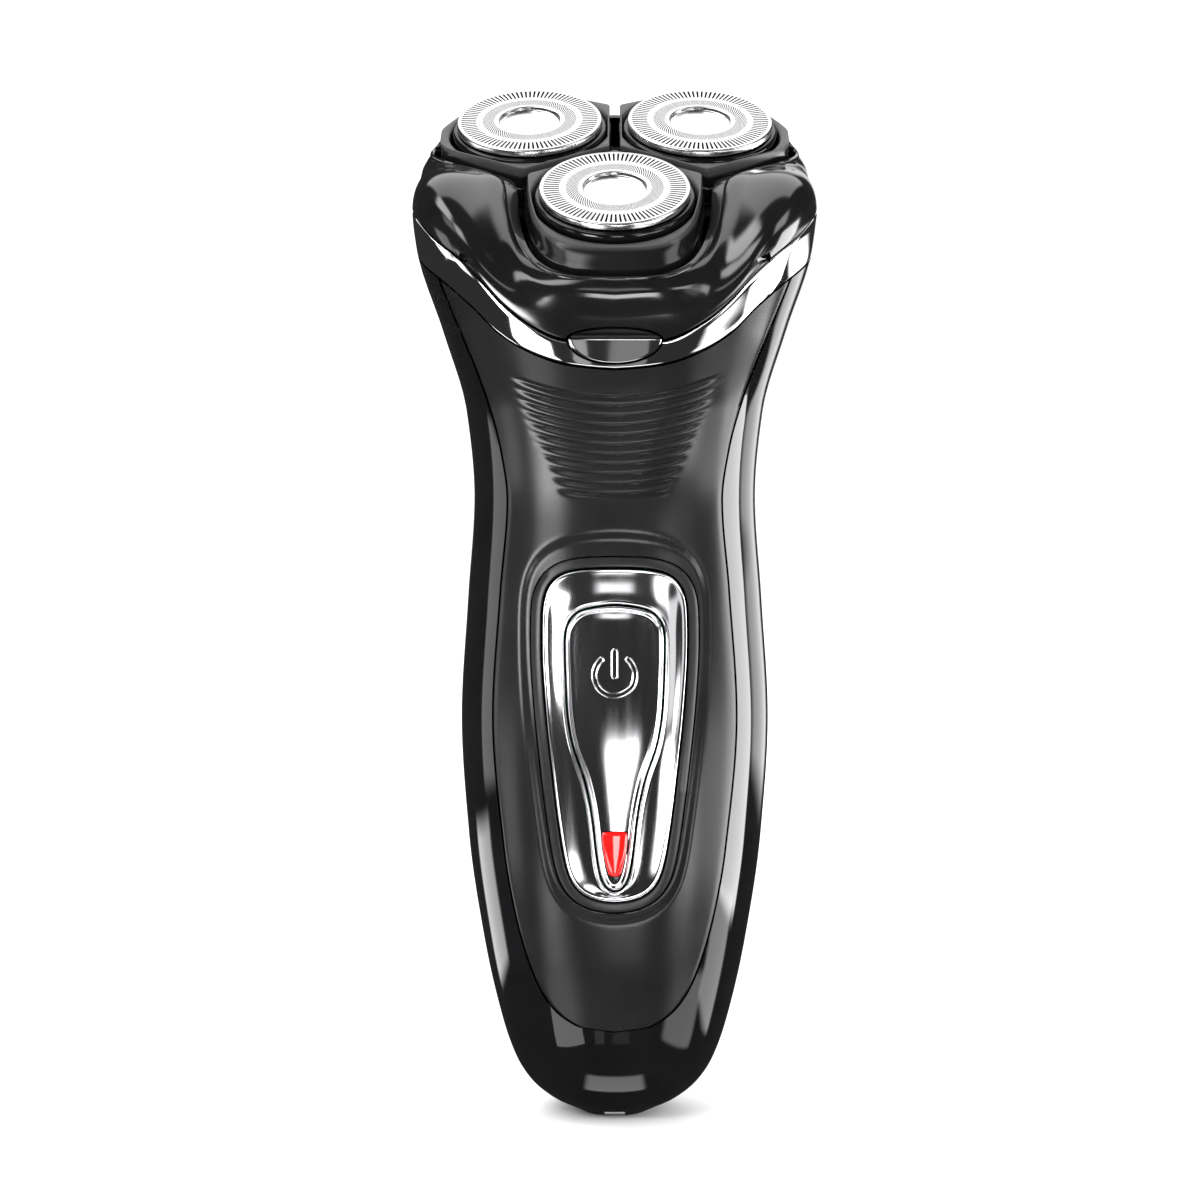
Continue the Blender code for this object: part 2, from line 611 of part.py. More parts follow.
def make_drive():
    """Deck, gears, spindles, gear plate and motor."""
    deck = prism("deck_plate", plane_outline((DECK_TOP + DECK_LOW) / 2, 4.0), DECK_LOW, DECK_TOP,
                 "handle", "grey_plastic", head_place)
    outline = plane_outline((DECK_TOP + DECK_LOW) / 2, 4.4)
    seal = [[head_place(a * k, b * k, w) for a, b in outline]
            for k, w in ((0.99, DECK_TOP + GAP), (0.99, DECK_TOP + 1.2), (0.94, DECK_TOP + 1.2), (0.94, DECK_TOP + GAP))]
    loops_solid("chamber_seal", seal, "handle", "rubber", ring=True)
    plate = prism("gear_plate", plane_outline(PLATE_LOW, 5.2), PLATE_LOW, PLATE_TOP, "handle", "grey_plastic", head_place)
    for name, azimuth in UNITS:
        frame = head_matrix(azimuth, UNIT_RADIUS)
        cut(deck, turned(f"cut_deck_{name}", frame, ((3.2, DECK_LOW - 2), (3.2, DECK_TOP + 2)), None, None, 12))
        cut(plate, turned(f"cut_pin_{name}", frame, ((1.3, PLATE_LOW - 2), (1.3, PLATE_TOP + 2)), None, None, 8))
        spindle = ((1.0, -19.8), (1.0, -18.8), (1.9, -18.8), (1.9, -16.0), (2.8, -16.0), (2.8, -9.9),
                   (1.4, -9.9), (1.4, -7.4))
        turned(f"drive_spindle_{name}", frame, spindle, f"spindle_{name}", "grey_plastic", 12)
        line = math.radians(azimuth)
        phase = math.pi + math.pi / GEAR_TEETH + line * PINION_TEETH / GEAR_TEETH
        gear = [gear_loop(frame, GEAR_TEETH, GEAR_LOW, phase), gear_loop(frame, GEAR_TEETH, GEAR_TOP, phase),
                circle(frame, 2.0, GEAR_TOP, GEAR_TEETH * 4, phase), circle(frame, 2.0, GEAR_LOW, GEAR_TEETH * 4, phase)]
        loops_solid(f"drive_gear_{name}", gear, f"spindle_{name}", "white_plastic", ring=True)
    for i, (azimuth, radius) in enumerate(SCREW_PLACES):
        frame = head_matrix(azimuth, radius)
        hole = turned(f"cut_deck_screw_{i}", frame, ((1.2, PLATE_LOW - 2), (1.2, DECK_TOP + 2)), None, None, 8)
        cut(deck, hole)
        cut(plate, hole)
        turned(f"deck_screw_{i + 1}", frame, ((0.9, -21.0), (0.9, DECK_TOP + GAP), (1.7, DECK_TOP + GAP),
                                             (1.7, DECK_TOP + 1.1)), "handle", "steel", 8)
    centre = head_matrix()
    cut(plate, turned("cut_plate_centre", centre, ((1.6, PLATE_LOW - 2), (1.6, PLATE_TOP + 2)), None, None, 10))
    teeth = PINION_TEETH * 4
    pinion = [gear_loop(centre, PINION_TEETH, GEAR_LOW + 0.1, 0), gear_loop(centre, PINION_TEETH, GEAR_TOP - 0.1, 0),
              circle(centre, 1.0, GEAR_TOP - 0.1, teeth), circle(centre, 1.0, GEAR_LOW + 0.1, teeth)]
    loops_solid("motor_pinion", pinion, "rotor", "brass", ring=True)
    turned("motor_shaft", centre, ((0.9, -21.8), (0.9, GEAR_TOP + 0.1)), "rotor", "steel", 10)
    can = ((1.15, MOTOR_TOP - 2.2), (1.15, MOTOR_TOP), (MOTOR_RADIUS - 0.6, MOTOR_TOP), (MOTOR_RADIUS, MOTOR_TOP - 0.6),
           (MOTOR_RADIUS, MOTOR_LOW))
    turned("motor", centre, can, "handle", "steel", 20)


# ---------------------------------------------------------------- handle contents

def make_electrics():
    """Battery, circuit board, switch, lamp, chassis and charging socket."""
    upright = Matrix.Translation((0, 6.2, 0))
    battery = ((6.4, 28.0), (7.0, 28.6), (7.0, 76.0), (6.4, 76.6), (2.6, 76.6), (2.6, 77.6))
    turned("battery", upright, battery, "handle", "battery_wrap", 20)
    block("battery_tab_top", (-2.5, -1.6, 78.0), (2.5, 8.0, 78.4), "handle", "steel")
    block("battery_tab_bottom", (-2.5, -1.6, 27.2), (2.5, 8.0, 27.6), "handle", "steel")
    chassis = block("chassis", (-11.0, -3.6, 20.0), (11.0, -2.2, 108.0), "handle", "grey_plastic")
    cut(chassis, block("cut_chassis", (-5.0, -6.0, 84.0), (5.0, 0.0, 100.0), None, None))
    frame = Matrix.Translation((0, 0, CASE_SCREWS[0][1])) @ Matrix.Rotation(math.pi / 2, 4, 'X')
    cut(chassis, turned("cut_chassis_screw", frame, ((1.2, -6), (1.2, 6)), None, None, 10))
    block("circuit_board", (-8.0, -7.4, 36.0), (8.0, -6.2, 100.0), "handle", "board_green")
    block("switch_base", (-3.0, -10.6, 66.0), (3.0, -7.7, 72.0), "handle", "gloss_black")
    frame = Matrix.Translation((0, -10.9, 69.0)) @ Matrix.Rotation(math.pi / 2, 4, 'X')
    turned("switch_plunger", frame, ((1.5, 0.0), (1.5, 6.2)), "handle", "grey_plastic", 10)
    frame = Matrix.Translation((0, -7.7, 44.5)) @ Matrix.Rotation(math.pi / 2, 4, 'X')
    turned("indicator_led", frame, ((1.5, 0.0), (1.5, 3.6), (1.0, 4.6), (0.5, 5.0)), "handle", "lens_red", 10)
    socket = ((4.2, 3.2), (4.2, 14.0), (SOCKET_RADIUS, 14.0), (SOCKET_RADIUS, 3.2))
    turned("charging_socket", Matrix.Identity(4), socket, "handle", "gloss_black", 16, ring=True)
    turned("socket_pin", Matrix.Identity(4), ((0.6, 5.0), (0.6, 16.0)), "handle", "brass", 8)
    for name, z, reach in CASE_SCREWS:
        turned(f"case_screw_{name}", screw_frame(z), ((1.7, -0.3), (1.7, 0.5), (1.0, 0.5), (1.0, reach)),
               "handle", "steel", 10)


def make_switch():
    """Bezel, chrome panel, power button and lamp lens on the front."""
    inlay("switch_bezel", mirrored_outline(PANEL, 1.8), -0.5, -2.6, "handle", "satin_black",
          hole=mirrored_outline(PANEL, GAP))
    inlay("switch_panel", mirrored_outline(PANEL), 0.1, -1.4, "handle", "chrome", hole=mirrored_outline(BUTTON, GAP))
    button = inlay("power_button", mirrored_outline(BUTTON), 0.5, -1.8, "power_button", "chrome")
    cut(button, prism("cut_lens", mirrored_outline(LENS, 0.25, 8), -40, -10, None, None, along_y))
    inlay("indicator_lens", mirrored_outline(LENS, 0.0, 8), 0.55, -1.5, "power_button", "lens_red")


def make_release():
    """Release button in the band, with its spring seat behind."""
    inlay("release_button", release_outline(), 0.5, -2.2, "release_button", "chrome")


def make_trimmer():
    """Pop-up trimmer on the back: tray, flap, comb, blade and slider."""
    tray_out = rounded_box(TRIMMER_HALF + 2.4, TRIMMER_LOW - 2.4, TRIMMER_TOP + 2.4)
    tray_in = rounded_box(TRIMMER_HALF + 1.0, TRIMMER_LOW - 1.0, TRIMMER_TOP + 1.0)
    loops = [on_skin(tray_in, -4.6, 1, 0.5), on_skin(tray_in, -4.6, 1), on_skin(tray_in, -2.1, 1),
             on_skin(tray_out, -2.1, 1), on_skin(tray_out, -5.8, 1), on_skin(tray_out, -5.8, 1, 0.5)]
    loops_solid("trimmer_tray", loops, "handle", "gloss_black")
    inlay("trimmer_flap", rounded_box(TRIMMER_HALF, TRIMMER_LOW, TRIMMER_TOP - 4.0), -0.1, -3.4, "trimmer",
          "gloss_black", side=1)
    y = surface_y(0, TRIMMER_TOP - 2, 1) - 2.0
    for name, depth, body, width in (("comb", y, "trimmer", 9.4), ("blade", y - 1.0, "trimmer_blade", 8.2)):
        toothed_plate(f"trimmer_{name}", width, depth, body)
    y = surface_y(0, 73.5, 1)
    slider = block("trimmer_slider", (-5.0, y + 0.5, 70.5), (5.0, y + 2.2, 78.5), "trimmer_slider", "gloss_black")
    stem = block("cut_slider_stem", (-1.3, y - 3.0, 73.0), (1.3, y + 1.0, 76.2), None, None)
    cut(slider, stem, 'UNION')


def toothed_plate(name, half, depth, body):
    """Thin plate 0.6 mm thick with teeth along its upper edge."""
    low, root, tip = TRIMMER_TOP - 3.6, TRIMMER_TOP - 2.4, TRIMMER_TOP - 1.0
    steps = 2 * TRIMMER_TEETH - 1
    mesh = bmesh.new()
    corners = {}

    def corner(i, z, y):
        if (i, z, y) not in corners:
            corners[i, z, y] = mesh.verts.new((-half + 2 * half * i / steps, y, z))
        return corners[i, z, y]

    for i in range(steps):
        cells = [(low, root)] if i % 2 else [(low, root), (root, tip)]
        for z0, z1 in cells:
            for y in (depth, depth + 0.6):
                mesh.faces.new((corner(i, z0, y), corner(i + 1, z0, y), corner(i + 1, z1, y), corner(i, z1, y)))
    places = {vert: key for key, vert in corners.items()}
    for edge in [e for e in mesh.edges if len(e.link_faces) == 1 and places[e.verts[0]][2] == depth]:
        (i0, z0, _), (i1, z1, _) = places[edge.verts[0]], places[edge.verts[1]]
        mesh.faces.new((edge.verts[0], edge.verts[1], corner(i1, z1, depth + 0.6), corner(i0, z0, depth + 0.6)))
    finish(name, mesh, body, "steel")


# ---------------------------------------------------------------- assembly

def add_body(name, place, parent=None):
    """Empty on a body's joint axis, which its pieces are parented to."""
    empty = bpy.data.objects.new("body_" + name, None)
    empty.empty_display_size = 0.005
    bpy.context.scene.collection.objects.link(empty)
    empty.matrix_world = Matrix.Translation((Vector(place) - Vector((0, MIDDLE_Y, 0))) * MM)
    bpy.context.view_layer.update()
    if parent:
        empty.parent = bodies[parent]
        empty.matrix_parent_inverse = bodies[parent].matrix_world.inverted()
    bpy.context.view_layer.update()
    bodies[name] = empty


def clear_scene():
    for obj in list(bpy.data.objects):
        bpy.data.objects.remove(obj)


clear_scene()
LOOKS = {
    "gloss_black": material("gloss_black", (0.012, 0.012, 0.014), 0.08),
    "satin_black": material("satin_black", (0.03, 0.03, 0.033), 0.32),
    "chrome": material("chrome", (0.85, 0.85, 0.87), 0.05, 1.0),
    "steel": material("steel", (0.62, 0.63, 0.65), 0.2, 1.0),
    "brass": material("brass", (0.75, 0.58, 0.3), 0.3, 1.0),
    "grey_plastic": material("grey_plastic", (0.12, 0.12, 0.13), 0.5),
    "white_plastic": material("white_plastic", (0.8, 0.8, 0.76), 0.4),
    "rubber": material("rubber", (0.04, 0.04, 0.04), 0.8),
    "lens_red": material("lens_red", (0.75, 0.02, 0.02), 0.1),
    "battery_wrap": material("battery_wrap", (0.05, 0.18, 0.4), 0.35),
    "board_green": material("board_green", (0.02, 0.2, 0.07), 0.4),
}

add_body("handle", (0, 0, 0))
add_body("head", (0, HINGE_Y, HINGE_Z), "handle")
add_body("lock_knob", HEAD_CENTRE, "head")
for unit, turn in UNITS:
    axle = head_matrix(turn, UNIT_RADIUS, UNIT_CANT) @ Vector((0, 0, -6))
    add_body(f"petal_{unit}", axle, "head")
    add_body(f"guard_{unit}", axle, f"petal_{unit}")
    add_body(f"cutter_{unit}", axle, f"guard_{unit}")
    add_body(f"spindle_{unit}", head_matrix(turn, UNIT_RADIUS).translation, "handle")
add_body("rotor", HEAD_CENTRE, "handle")
add_body("power_button", (0, 0, 69.0), "handle")
add_body("release_button", (0, 0, RELEASE_Z), "handle")
add_body("trimmer", (0, surface_y(0, TRIMMER_LOW + 1, 1) - 1.1, TRIMMER_LOW + 1.0), "handle")
add_body("trimmer_blade", (0, 0, TRIMMER_TOP), "trimmer")
add_body("trimmer_slider", (0, 0, 74.0), "handle")

make_handle()
make_collar(make_band())
for unit, turn in UNITS:
    make_petal(unit, turn)
    make_unit(unit, turn)
make_head_inside()
make_hinge()
make_drive()
make_electrics()
make_switch()
make_release()
make_trimmer()
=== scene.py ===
"""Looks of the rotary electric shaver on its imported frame: fine surfaces, materials, light and camera.

Lengths are millimetres measured from the handle's axis, and raw() turns them into the frame's metres. Angles
round the body are degrees from the front, positive towards +X.
"""

import json
import math

import bmesh
import bpy
import numpy as np
from mathutils import Matrix, Vector


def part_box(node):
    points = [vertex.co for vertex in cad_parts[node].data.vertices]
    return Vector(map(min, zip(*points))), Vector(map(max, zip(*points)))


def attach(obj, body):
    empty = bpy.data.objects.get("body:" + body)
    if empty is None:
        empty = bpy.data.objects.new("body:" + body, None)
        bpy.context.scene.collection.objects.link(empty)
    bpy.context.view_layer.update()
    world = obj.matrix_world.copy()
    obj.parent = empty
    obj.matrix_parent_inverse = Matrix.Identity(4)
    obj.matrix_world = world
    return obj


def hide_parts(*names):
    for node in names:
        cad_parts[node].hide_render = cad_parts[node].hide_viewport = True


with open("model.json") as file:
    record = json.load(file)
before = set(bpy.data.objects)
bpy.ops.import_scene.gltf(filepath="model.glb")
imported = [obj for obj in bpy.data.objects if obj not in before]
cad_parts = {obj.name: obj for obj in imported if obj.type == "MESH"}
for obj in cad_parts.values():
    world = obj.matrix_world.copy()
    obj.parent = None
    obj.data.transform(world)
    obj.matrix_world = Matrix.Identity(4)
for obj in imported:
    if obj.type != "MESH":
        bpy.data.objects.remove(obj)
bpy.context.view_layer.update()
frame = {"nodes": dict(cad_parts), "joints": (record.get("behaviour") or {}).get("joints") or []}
JOINTS = {joint["name"]: joint for joint in frame["joints"]}

MM = 0.001
GAP = 0.3                  # clearance between neighbouring pieces
WALL = 1.7                 # shell thickness

# Outer body: height, half width, depth to the front, depth to the back.
SECTIONS = np.array((
    (0.0, 5.0, 4.4, 4.6), (1.0, 7.0, 6.0, 6.2), (2.5, 10.0, 8.2, 8.6), (5.5, 13.5, 11.0, 11.6),
    (9.0, 15.7, 12.9, 13.6), (15.0, 17.8, 14.9, 15.8), (28.0, 20.7, 17.6, 18.3), (45.0, 23.1, 19.4, 19.8),
    (63.0, 24.15, 20.0, 20.0), (82.0, 23.05, 19.4, 19.0), (98.0, 22.0, 18.6, 18.6),
    (111.0, 23.1, 20.0, 20.3), (123.0, 26.5, 24.3, 25.0), (136.0, 30.6, 29.0, 28.8),
    (142.0, 31.2, 30.0, 29.4), (160.0, 30.2, 30.0, 29.2),
))
ROUND_HANDLE, ROUND_HEAD = 2.35, 2.9       # superellipse exponents of the handle's and the head's sections
# Chrome band: heights of its upper and lower edge by the angle from the front.
BAND_TOP = ((0, 120.7), (10, 121.3), (21.5, 124.0), (28.5, 126.6), (36, 130.4), (44, 133.5),
            (56, 136.4), (72, 139.9), (90, 142.4), (130, 146.8), (180, 149.6))
BAND_LOW = ((0, 117.0), (10, 117.7), (21.5, 119.5), (33, 122.4), (43, 126.3), (56, 130.0),
            (69, 132.4), (90, 135.5), (130, 140.4), (180, 143.6))
# Seam between the shells, seen from the front: height and half width.
SHELL_SEAM = ((16.0, 0.0), (16.8, 5.6), (20.6, 10.3), (25.9, 12.9), (34.0, 15.2), (44.0, 16.9),
              (64.5, 18.6), (83.8, 17.4), (97.7, 16.3), (105.3, 17.3), (113.0, 19.4),
              (132.0, 26.8), (140.0, 29.5))

# Head: its plane leans forward, and the three cutting units stand round its centre.
SPIN = JOINTS["motor_spin"]
UNIT_SPIN = JOINTS["cutter_spin_front"]
MIDDLE_Y = -SPIN["pos_m"][1] / MM          # middle of the shaver's depth, from the handle's axis
HEAD_CENTRE = Vector((0, 0, SPIN["pos_m"][2] / MM))
HEAD_TILT = math.atan2(-SPIN["axis"][1], SPIN["axis"][2])
UNIT_RADIUS = (Vector(UNIT_SPIN["pos_m"]) - Vector(SPIN["pos_m"])).length / MM
UNIT_CANT = math.atan2(-UNIT_SPIN["axis"][1], UNIT_SPIN["axis"][2]) - HEAD_TILT
UNITS = (("front", 0.0), ("left", -120.0), ("right", 120.0))
TONGUE_HALF, TONGUE_FRONT, TONGUE_REAR, TONGUE_ROUND = 15.5, 34.0, 32.5, 3.5
LOBE_BLEND = 14            # the higher, the sharper the corners between the opening's lobes
SHOULDER = 29.6            # half width that the opening keeps within, so that the collar stays round there
SHOULDER_BLEND = 24.0      # the higher, the sharper the opening's corners at that half width
# Collar's rim: height from the head plane by azimuth.
RIM_HEIGHT = ((0, -5.3), (20, -5.0), (40, -3.5), (60, -2.1), (75, -2.2), (90, -3.0), (102, -4.8),
              (116, -6.8), (150, -6.8), (166, -4.6), (180, -4.2))
PETAL_GAP, PETAL_GAP_END = 1.2, 1.5        # holder's skirt to the opening, at its sides and at its end
TILT_ROOM = 0.4                            # further gap, which keeps a tilted holder clear of the collar
PETAL_SEAM, PETAL_TOP_SEAM = 0.78, 0.86    # from the seam's middle line to the holder's skirt and top
PETAL_TOP, PETAL_LOW = -1.3, -7.0          # holder's top at the middle of the head, and its underside
PETAL_FALL, FALL_START, FALL_RUN = 1.1, 14.0, 15.0    # the top falls this far, from here, over this distance
HINGE_HALF = 11.4
NOTCH_ANGLE = 40.0         # from the front to the finger notches above the band
HINGE_Z = JOINTS["head_open"]["pos_m"][2] / MM

# Switch on the front: height and half width.
PANEL = ((36.6, 0.0), (37.5, 4.4), (40.3, 6.8), (48.0, 8.3), (58.0, 9.5), (67.0, 10.4),
         (76.0, 10.9), (82.0, 10.8), (85.8, 9.4), (87.2, 5.4), (87.4, 0.0))
BUTTON = ((38.2, 0.0), (39.0, 1.4), (42.0, 2.3), (51.0, 3.4), (56.0, 4.5), (61.2, 6.3),
          (67.0, 7.1), (78.0, 7.4), (81.0, 5.6), (82.0, 0.0))
LENS = ((40.9, 0.0), (41.0, 0.8), (47.6, 1.9), (47.7, 0.0))
RECESS = ((34.4, 0.0), (35.2, 5.0), (38.2, 8.6), (48.0, 10.4), (58.0, 11.7), (67.0, 12.6),
          (76.0, 13.1), (83.0, 13.1), (88.4, 11.9), (91.0, 7.5), (91.8, 0.0))
RECESS_DEPTH, RECESS_BEVEL = 0.62, 1.7
SEAM_DEPTH, SEAM_BEVEL = 0.16, 0.35        # front shell's edge along the seam
SHELL_COLUMNS = 121
SYMBOL_Z, SYMBOL_RADIUS, SYMBOL_HALF = 71.5, 3.08, 0.34
SYMBOL_OPEN = math.radians(40)             # half angle of the gap in its arc
STROKE_HALF, STROKE_ENDS = 0.42, (-0.1, 3.5)
RIB_COUNT, RIB_TOP, RIB_PITCH, RIB_DEPTH = 11, 113.1, 1.45, 0.36

TRIMMER_LOW, TRIMMER_TOP, TRIMMER_HALF = 84.0, 112.0, 11.5
RELEASE_Z, RELEASE_HALF = 121.6, 6.9       # release button's widest line
RELEASE_DOWN, RELEASE_UP = 3.5, 1.5        # its arcs below and above that line
CASE_SCREWS = (("lower", 22.0, 22.0), ("upper", 121.5, 5.0))    # name, height, length
SOCKET_RADIUS = 1.9

ROUND = 216                # points round a large loop
ANGLES = np.arange(ROUND) * 360 / ROUND

# Guard plate: radii of its rings of points, its two slotted zones, and how far the inner slots lean.
GUARD_RINGS = (5.25, 5.55, 6.0, 6.5, 7.0, 7.45, 7.7, 8.05, 8.4, 9.2, 10.0, 10.8, 10.95, 11.06)
INNER_SLOTS, OUTER_SLOTS = (5.55, 7.45), (8.4, 10.8)
SLOT_COUNT, SLOT_SHARE, SLOT_LEAN = 90, 0.46, math.radians(16)
PLATE_THICK = 0.4

CAMERA_HEIGHT, CAMERA_DISTANCE, CAMERA_ELEVATION = 0.0814, 0.4, math.radians(4.0)
CAMERA_SENSOR, CAMERA_LENS, CAMERA_SHIFT = 36.0, 76.1, -0.0123
LIGHT_CENTRE = Vector((0, 0, 0.08))        # point that every softbox is aimed at
ROOM_MATT, ROOM_GLOSS = 1.3, 0.03          # brightness of the room for matt and for glossy surfaces


# ---------------------------------------------------------------- curves

def curve_value(table, x):
    """Smooth values at x of a curve through the table's points, with no overshoot."""
    xs, ys = np.array(table, float).T
    x = np.clip(x, xs[0], xs[-1])
    i = np.clip(np.searchsorted(xs, x, side="right") - 1, 0, len(xs) - 2)
    slope = np.diff(ys) / np.diff(xs)
    same = slope[:-1] * slope[1:] > 0
    total = np.where(same, slope[:-1] + slope[1:], 1.0)
    middle = np.where(same, 2 * slope[:-1] * slope[1:] / total, 0.0)
    tangent = np.concatenate((slope[:1], middle, slope[-1:]))
    h = xs[i + 1] - xs[i]
    t = (x - xs[i]) / h
    return (ys[i] * (2 * t**3 - 3 * t**2 + 1) + tangent[i] * h * (t**3 - 2 * t**2 + t)
            + ys[i + 1] * (3 * t**2 - 2 * t**3) + tangent[i + 1] * h * (t**3 - t**2))


def smooth_step(x):
    """Smooth rise from 0 to 1 while x goes from 0 to 1."""
    x = np.clip(x, 0.0, 1.0)
    return x * x * (3 - 2 * x)


def signed_power(value, power):
    """Power of the size of a value, with the value's sign."""
    return np.sign(value) * np.abs(value) ** power


def turns(count):
    """Evenly spaced angles round a full turn."""
    return np.arange(count) * 2 * np.pi / count


def ring_points(radius, a, height=0.0):
    """Points at a radius and a height, at angles from the front."""
    return np.stack((radius * np.sin(a), -radius * np.cos(a), height + 0 * a), axis=-1)


def section(z):
    """Half width, front depth, back depth and roundness of the body at heights z."""
    half, front, back = (curve_value(SECTIONS[:, (0, k)], z) for k in (1, 2, 3))
    return half, front, back, ROUND_HANDLE + (ROUND_HEAD - ROUND_HANDLE) * smooth_step((z - 95) / 30)


def body_point(angle, z, inset=0.0):
    """Points of the body's surface: angle 0 is the front, 90 is +X, 180 the back."""
    half, front, back, power = section(z)
    s, c = np.sin(np.radians(angle)), np.cos(np.radians(angle))
    depth = np.where(c >= 0, front, back)
    x = (half - inset) * signed_power(s, 2 / power)
    return np.stack((x, -(depth - inset) * signed_power(c, 2 / power), z + 0 * s), axis=-1)


def surface_y(x, z, side):
    """Depth of the body's surface at x, z: side -1 is the front, +1 the back."""
    half, front, back, power = section(z)
    depth = front if side < 0 else back
    return side * depth * (1 - np.minimum(0.98, np.abs(x) / half) ** power) ** (1 / power)


def edge_height(table, angle):
    """Heights of the band's edge at angles round the body."""
    return curve_value(table, np.abs((np.asarray(angle, float) + 180) % 360 - 180))


def head_matrix(azimuth=0.0, radius=0.0, cant=0.0):
    """Frame on the head plane: local -Y points outwards at the azimuth, local Z along the axis."""
    lean = Matrix.Translation(HEAD_CENTRE) @ Matrix.Rotation(HEAD_TILT, 4, 'X')
    turn = Matrix.Rotation(math.radians(azimuth), 4, 'Z')
    return lean @ turn @ Matrix.Translation((0, -radius, 0)) @ Matrix.Rotation(cant, 4, 'X')


def placed(matrix, points):
    """Points moved by a matrix."""
    m = np.array(matrix)
    return np.asarray(points, float) @ m[:3, :3].T + m[:3, 3]


def lobe_reach(azimuth):
    """How far the opening's lobe at an azimuth reaches from the middle of the head."""
    return TONGUE_FRONT if azimuth == 0 else TONGUE_REAR


def tongue_radius(azimuth, trim=0.0):
    """Radius in the head plane of the three-lobed opening, made smaller by trim."""
    half, p = TONGUE_HALF - trim, TONGUE_ROUND
    total = 0.0
    for _, turn in UNITS:
        off = np.radians(azimuth - turn)
        ahead = np.maximum(np.cos(off), 0.0) / (lobe_reach(turn) - trim)
        lobe = ((np.abs(np.sin(off)) / half) ** p + ahead ** p + 1e-12) ** (-1 / p)
        total = total + np.where(np.cos(off) > 0, lobe, 0.0) ** LOBE_BLEND
    limit = (SHOULDER - trim) / np.maximum(np.abs(np.sin(np.radians(azimuth))), 0.05)
    return (total ** (-SHOULDER_BLEND / LOBE_BLEND) + limit ** -SHOULDER_BLEND) ** (-1 / SHOULDER_BLEND)


def rim_point(angle, trim=0.0, drop=0.0):
    """Points of the collar's upper rim."""
    height = edge_height(RIM_HEIGHT, angle) - drop
    return placed(head_matrix(), ring_points(tongue_radius(angle, trim), np.radians(angle), height))


# ---------------------------------------------------------------- meshes

def raw(name, verts, faces):
    """Object of a closed mesh given in millimetres, with its normals outwards."""
    data = bpy.data.meshes.new(name)
    data.from_pydata(((np.asarray(verts, float) - (0, MIDDLE_Y, 0)) * MM).tolist(), [], faces)
    mesh = bmesh.new()
    mesh.from_mesh(data)
    bmesh.ops.recalc_face_normals(mesh, faces=mesh.faces)
    mesh.to_mesh(data)
    mesh.free()
    obj = bpy.data.objects.new(name, data)
    bpy.context.scene.collection.objects.link(obj)
    return obj


def skin(loops, ring=False, zipped=False):
    """Vertices and faces through loops of equal length.

    A ring joins its last loop to its first. Ends are closed with a fan, or zipped from side to side.
    """
    loops = [np.asarray(loop, float) for loop in loops]
    count, rows = len(loops[0]), len(loops)
    verts = np.concatenate(loops)
    faces = []
    for r in range(rows if ring else rows - 1):
        low, high = r * count, (r + 1) % rows * count
        faces += [(low + i, low + (i + 1) % count, high + (i + 1) % count, high + i) for i in range(count)]
    if ring:
        return verts, faces
    for start in (0, (rows - 1) * count):
        if zipped:
            faces += [tuple(dict.fromkeys((start + i, start + i + 1, start + (count - i - 1) % count,
                                           start + (count - i) % count))) for i in range(count // 2)]
        else:
            verts = np.vstack((verts, verts[start:start + count].mean(axis=0)))
            faces += [(start + i, start + (i + 1) % count, len(verts) - 1) for i in range(count)]
    return verts, [face for face in faces if len(face) > 2]


def joined(*parts):
    """Several (vertices, faces) pairs as one."""
    verts, faces, start = [], [], 0
    for part_verts, part_faces in parts:
        verts.append(np.asarray(part_verts, float))
        faces += [tuple(i + start for i in face) for face in part_faces]
        start += len(part_verts)
    return np.concatenate(verts), faces


def carve(obj, shape, operation='DIFFERENCE'):
    """Cuts closed vertices and faces out of an object for good, or adds them to it."""
    cutter = raw("cutter", *shape)
    modifier = obj.modifiers.new("carve", 'BOOLEAN')
    modifier.operation = operation
    modifier.solver = 'EXACT'
    modifier.object = cutter
    bpy.context.view_layer.update()
    result = obj.evaluated_get(bpy.context.evaluated_depsgraph_get())
    data = bpy.data.meshes.new_from_object(result)
    obj.modifiers.clear()
    obj.data = data
    bpy.data.objects.remove(cutter)
    return obj


def dress(obj, body, look, slot, *nodes, sharp=32):
    """Gives a new piece its material and its body, and hides the CAD nodes it stands for. Its slot is not
    used.
    """
    obj.data.shade_smooth()
    obj.data.set_sharp_from_angle(angle=math.radians(sharp))
    obj.data.materials.clear()
    obj.data.materials.append(LOOKS[look])
    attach(obj, body)
    if nodes:
        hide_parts(*nodes)
    return obj


def circle(matrix, radius, height, count=ROUND):
    """Circle of points at a height of the given frame."""
    return placed(matrix, ring_points(radius, turns(count), height))


def turned(matrix, profile, count=96, ring=False):
    """Solid of revolution about the frame's Z through (radius, height) points."""
    return skin([circle(matrix, r, h, count) for r, h in profile], ring)


def boxed(low, high, matrix=None):
    """Box between two corners."""
    corners = [(x, y, z) for x in (low[0], high[0]) for y in (low[1], high[1]) for z in (low[2], high[2])]
    faces = [(0, 1, 3, 2), (4, 6, 7, 5), (0, 4, 5, 1), (2, 3, 7, 6), (0, 2, 6, 4), (1, 5, 7, 3)]
    return (placed(matrix, corners) if matrix else np.array(corners, float)), faces


# ---------------------------------------------------------------- outlines in the front plane

def resampled(points, count, soften=0):
    """Closed outline with evenly spaced points, its corners softened."""
    closed = np.vstack((points, points[:1]))
    length = np.concatenate(((0,), np.cumsum(np.hypot(*np.diff(closed, axis=0).T))))
    at = np.arange(count) * length[-1] / count
    even = np.stack([np.interp(at, length, closed[:, k]) for k in (0, 1)], axis=-1)
    for _ in range(soften):
        even = (np.roll(even, 1, axis=0) + 2 * even + np.roll(even, -1, axis=0)) / 4
    return even


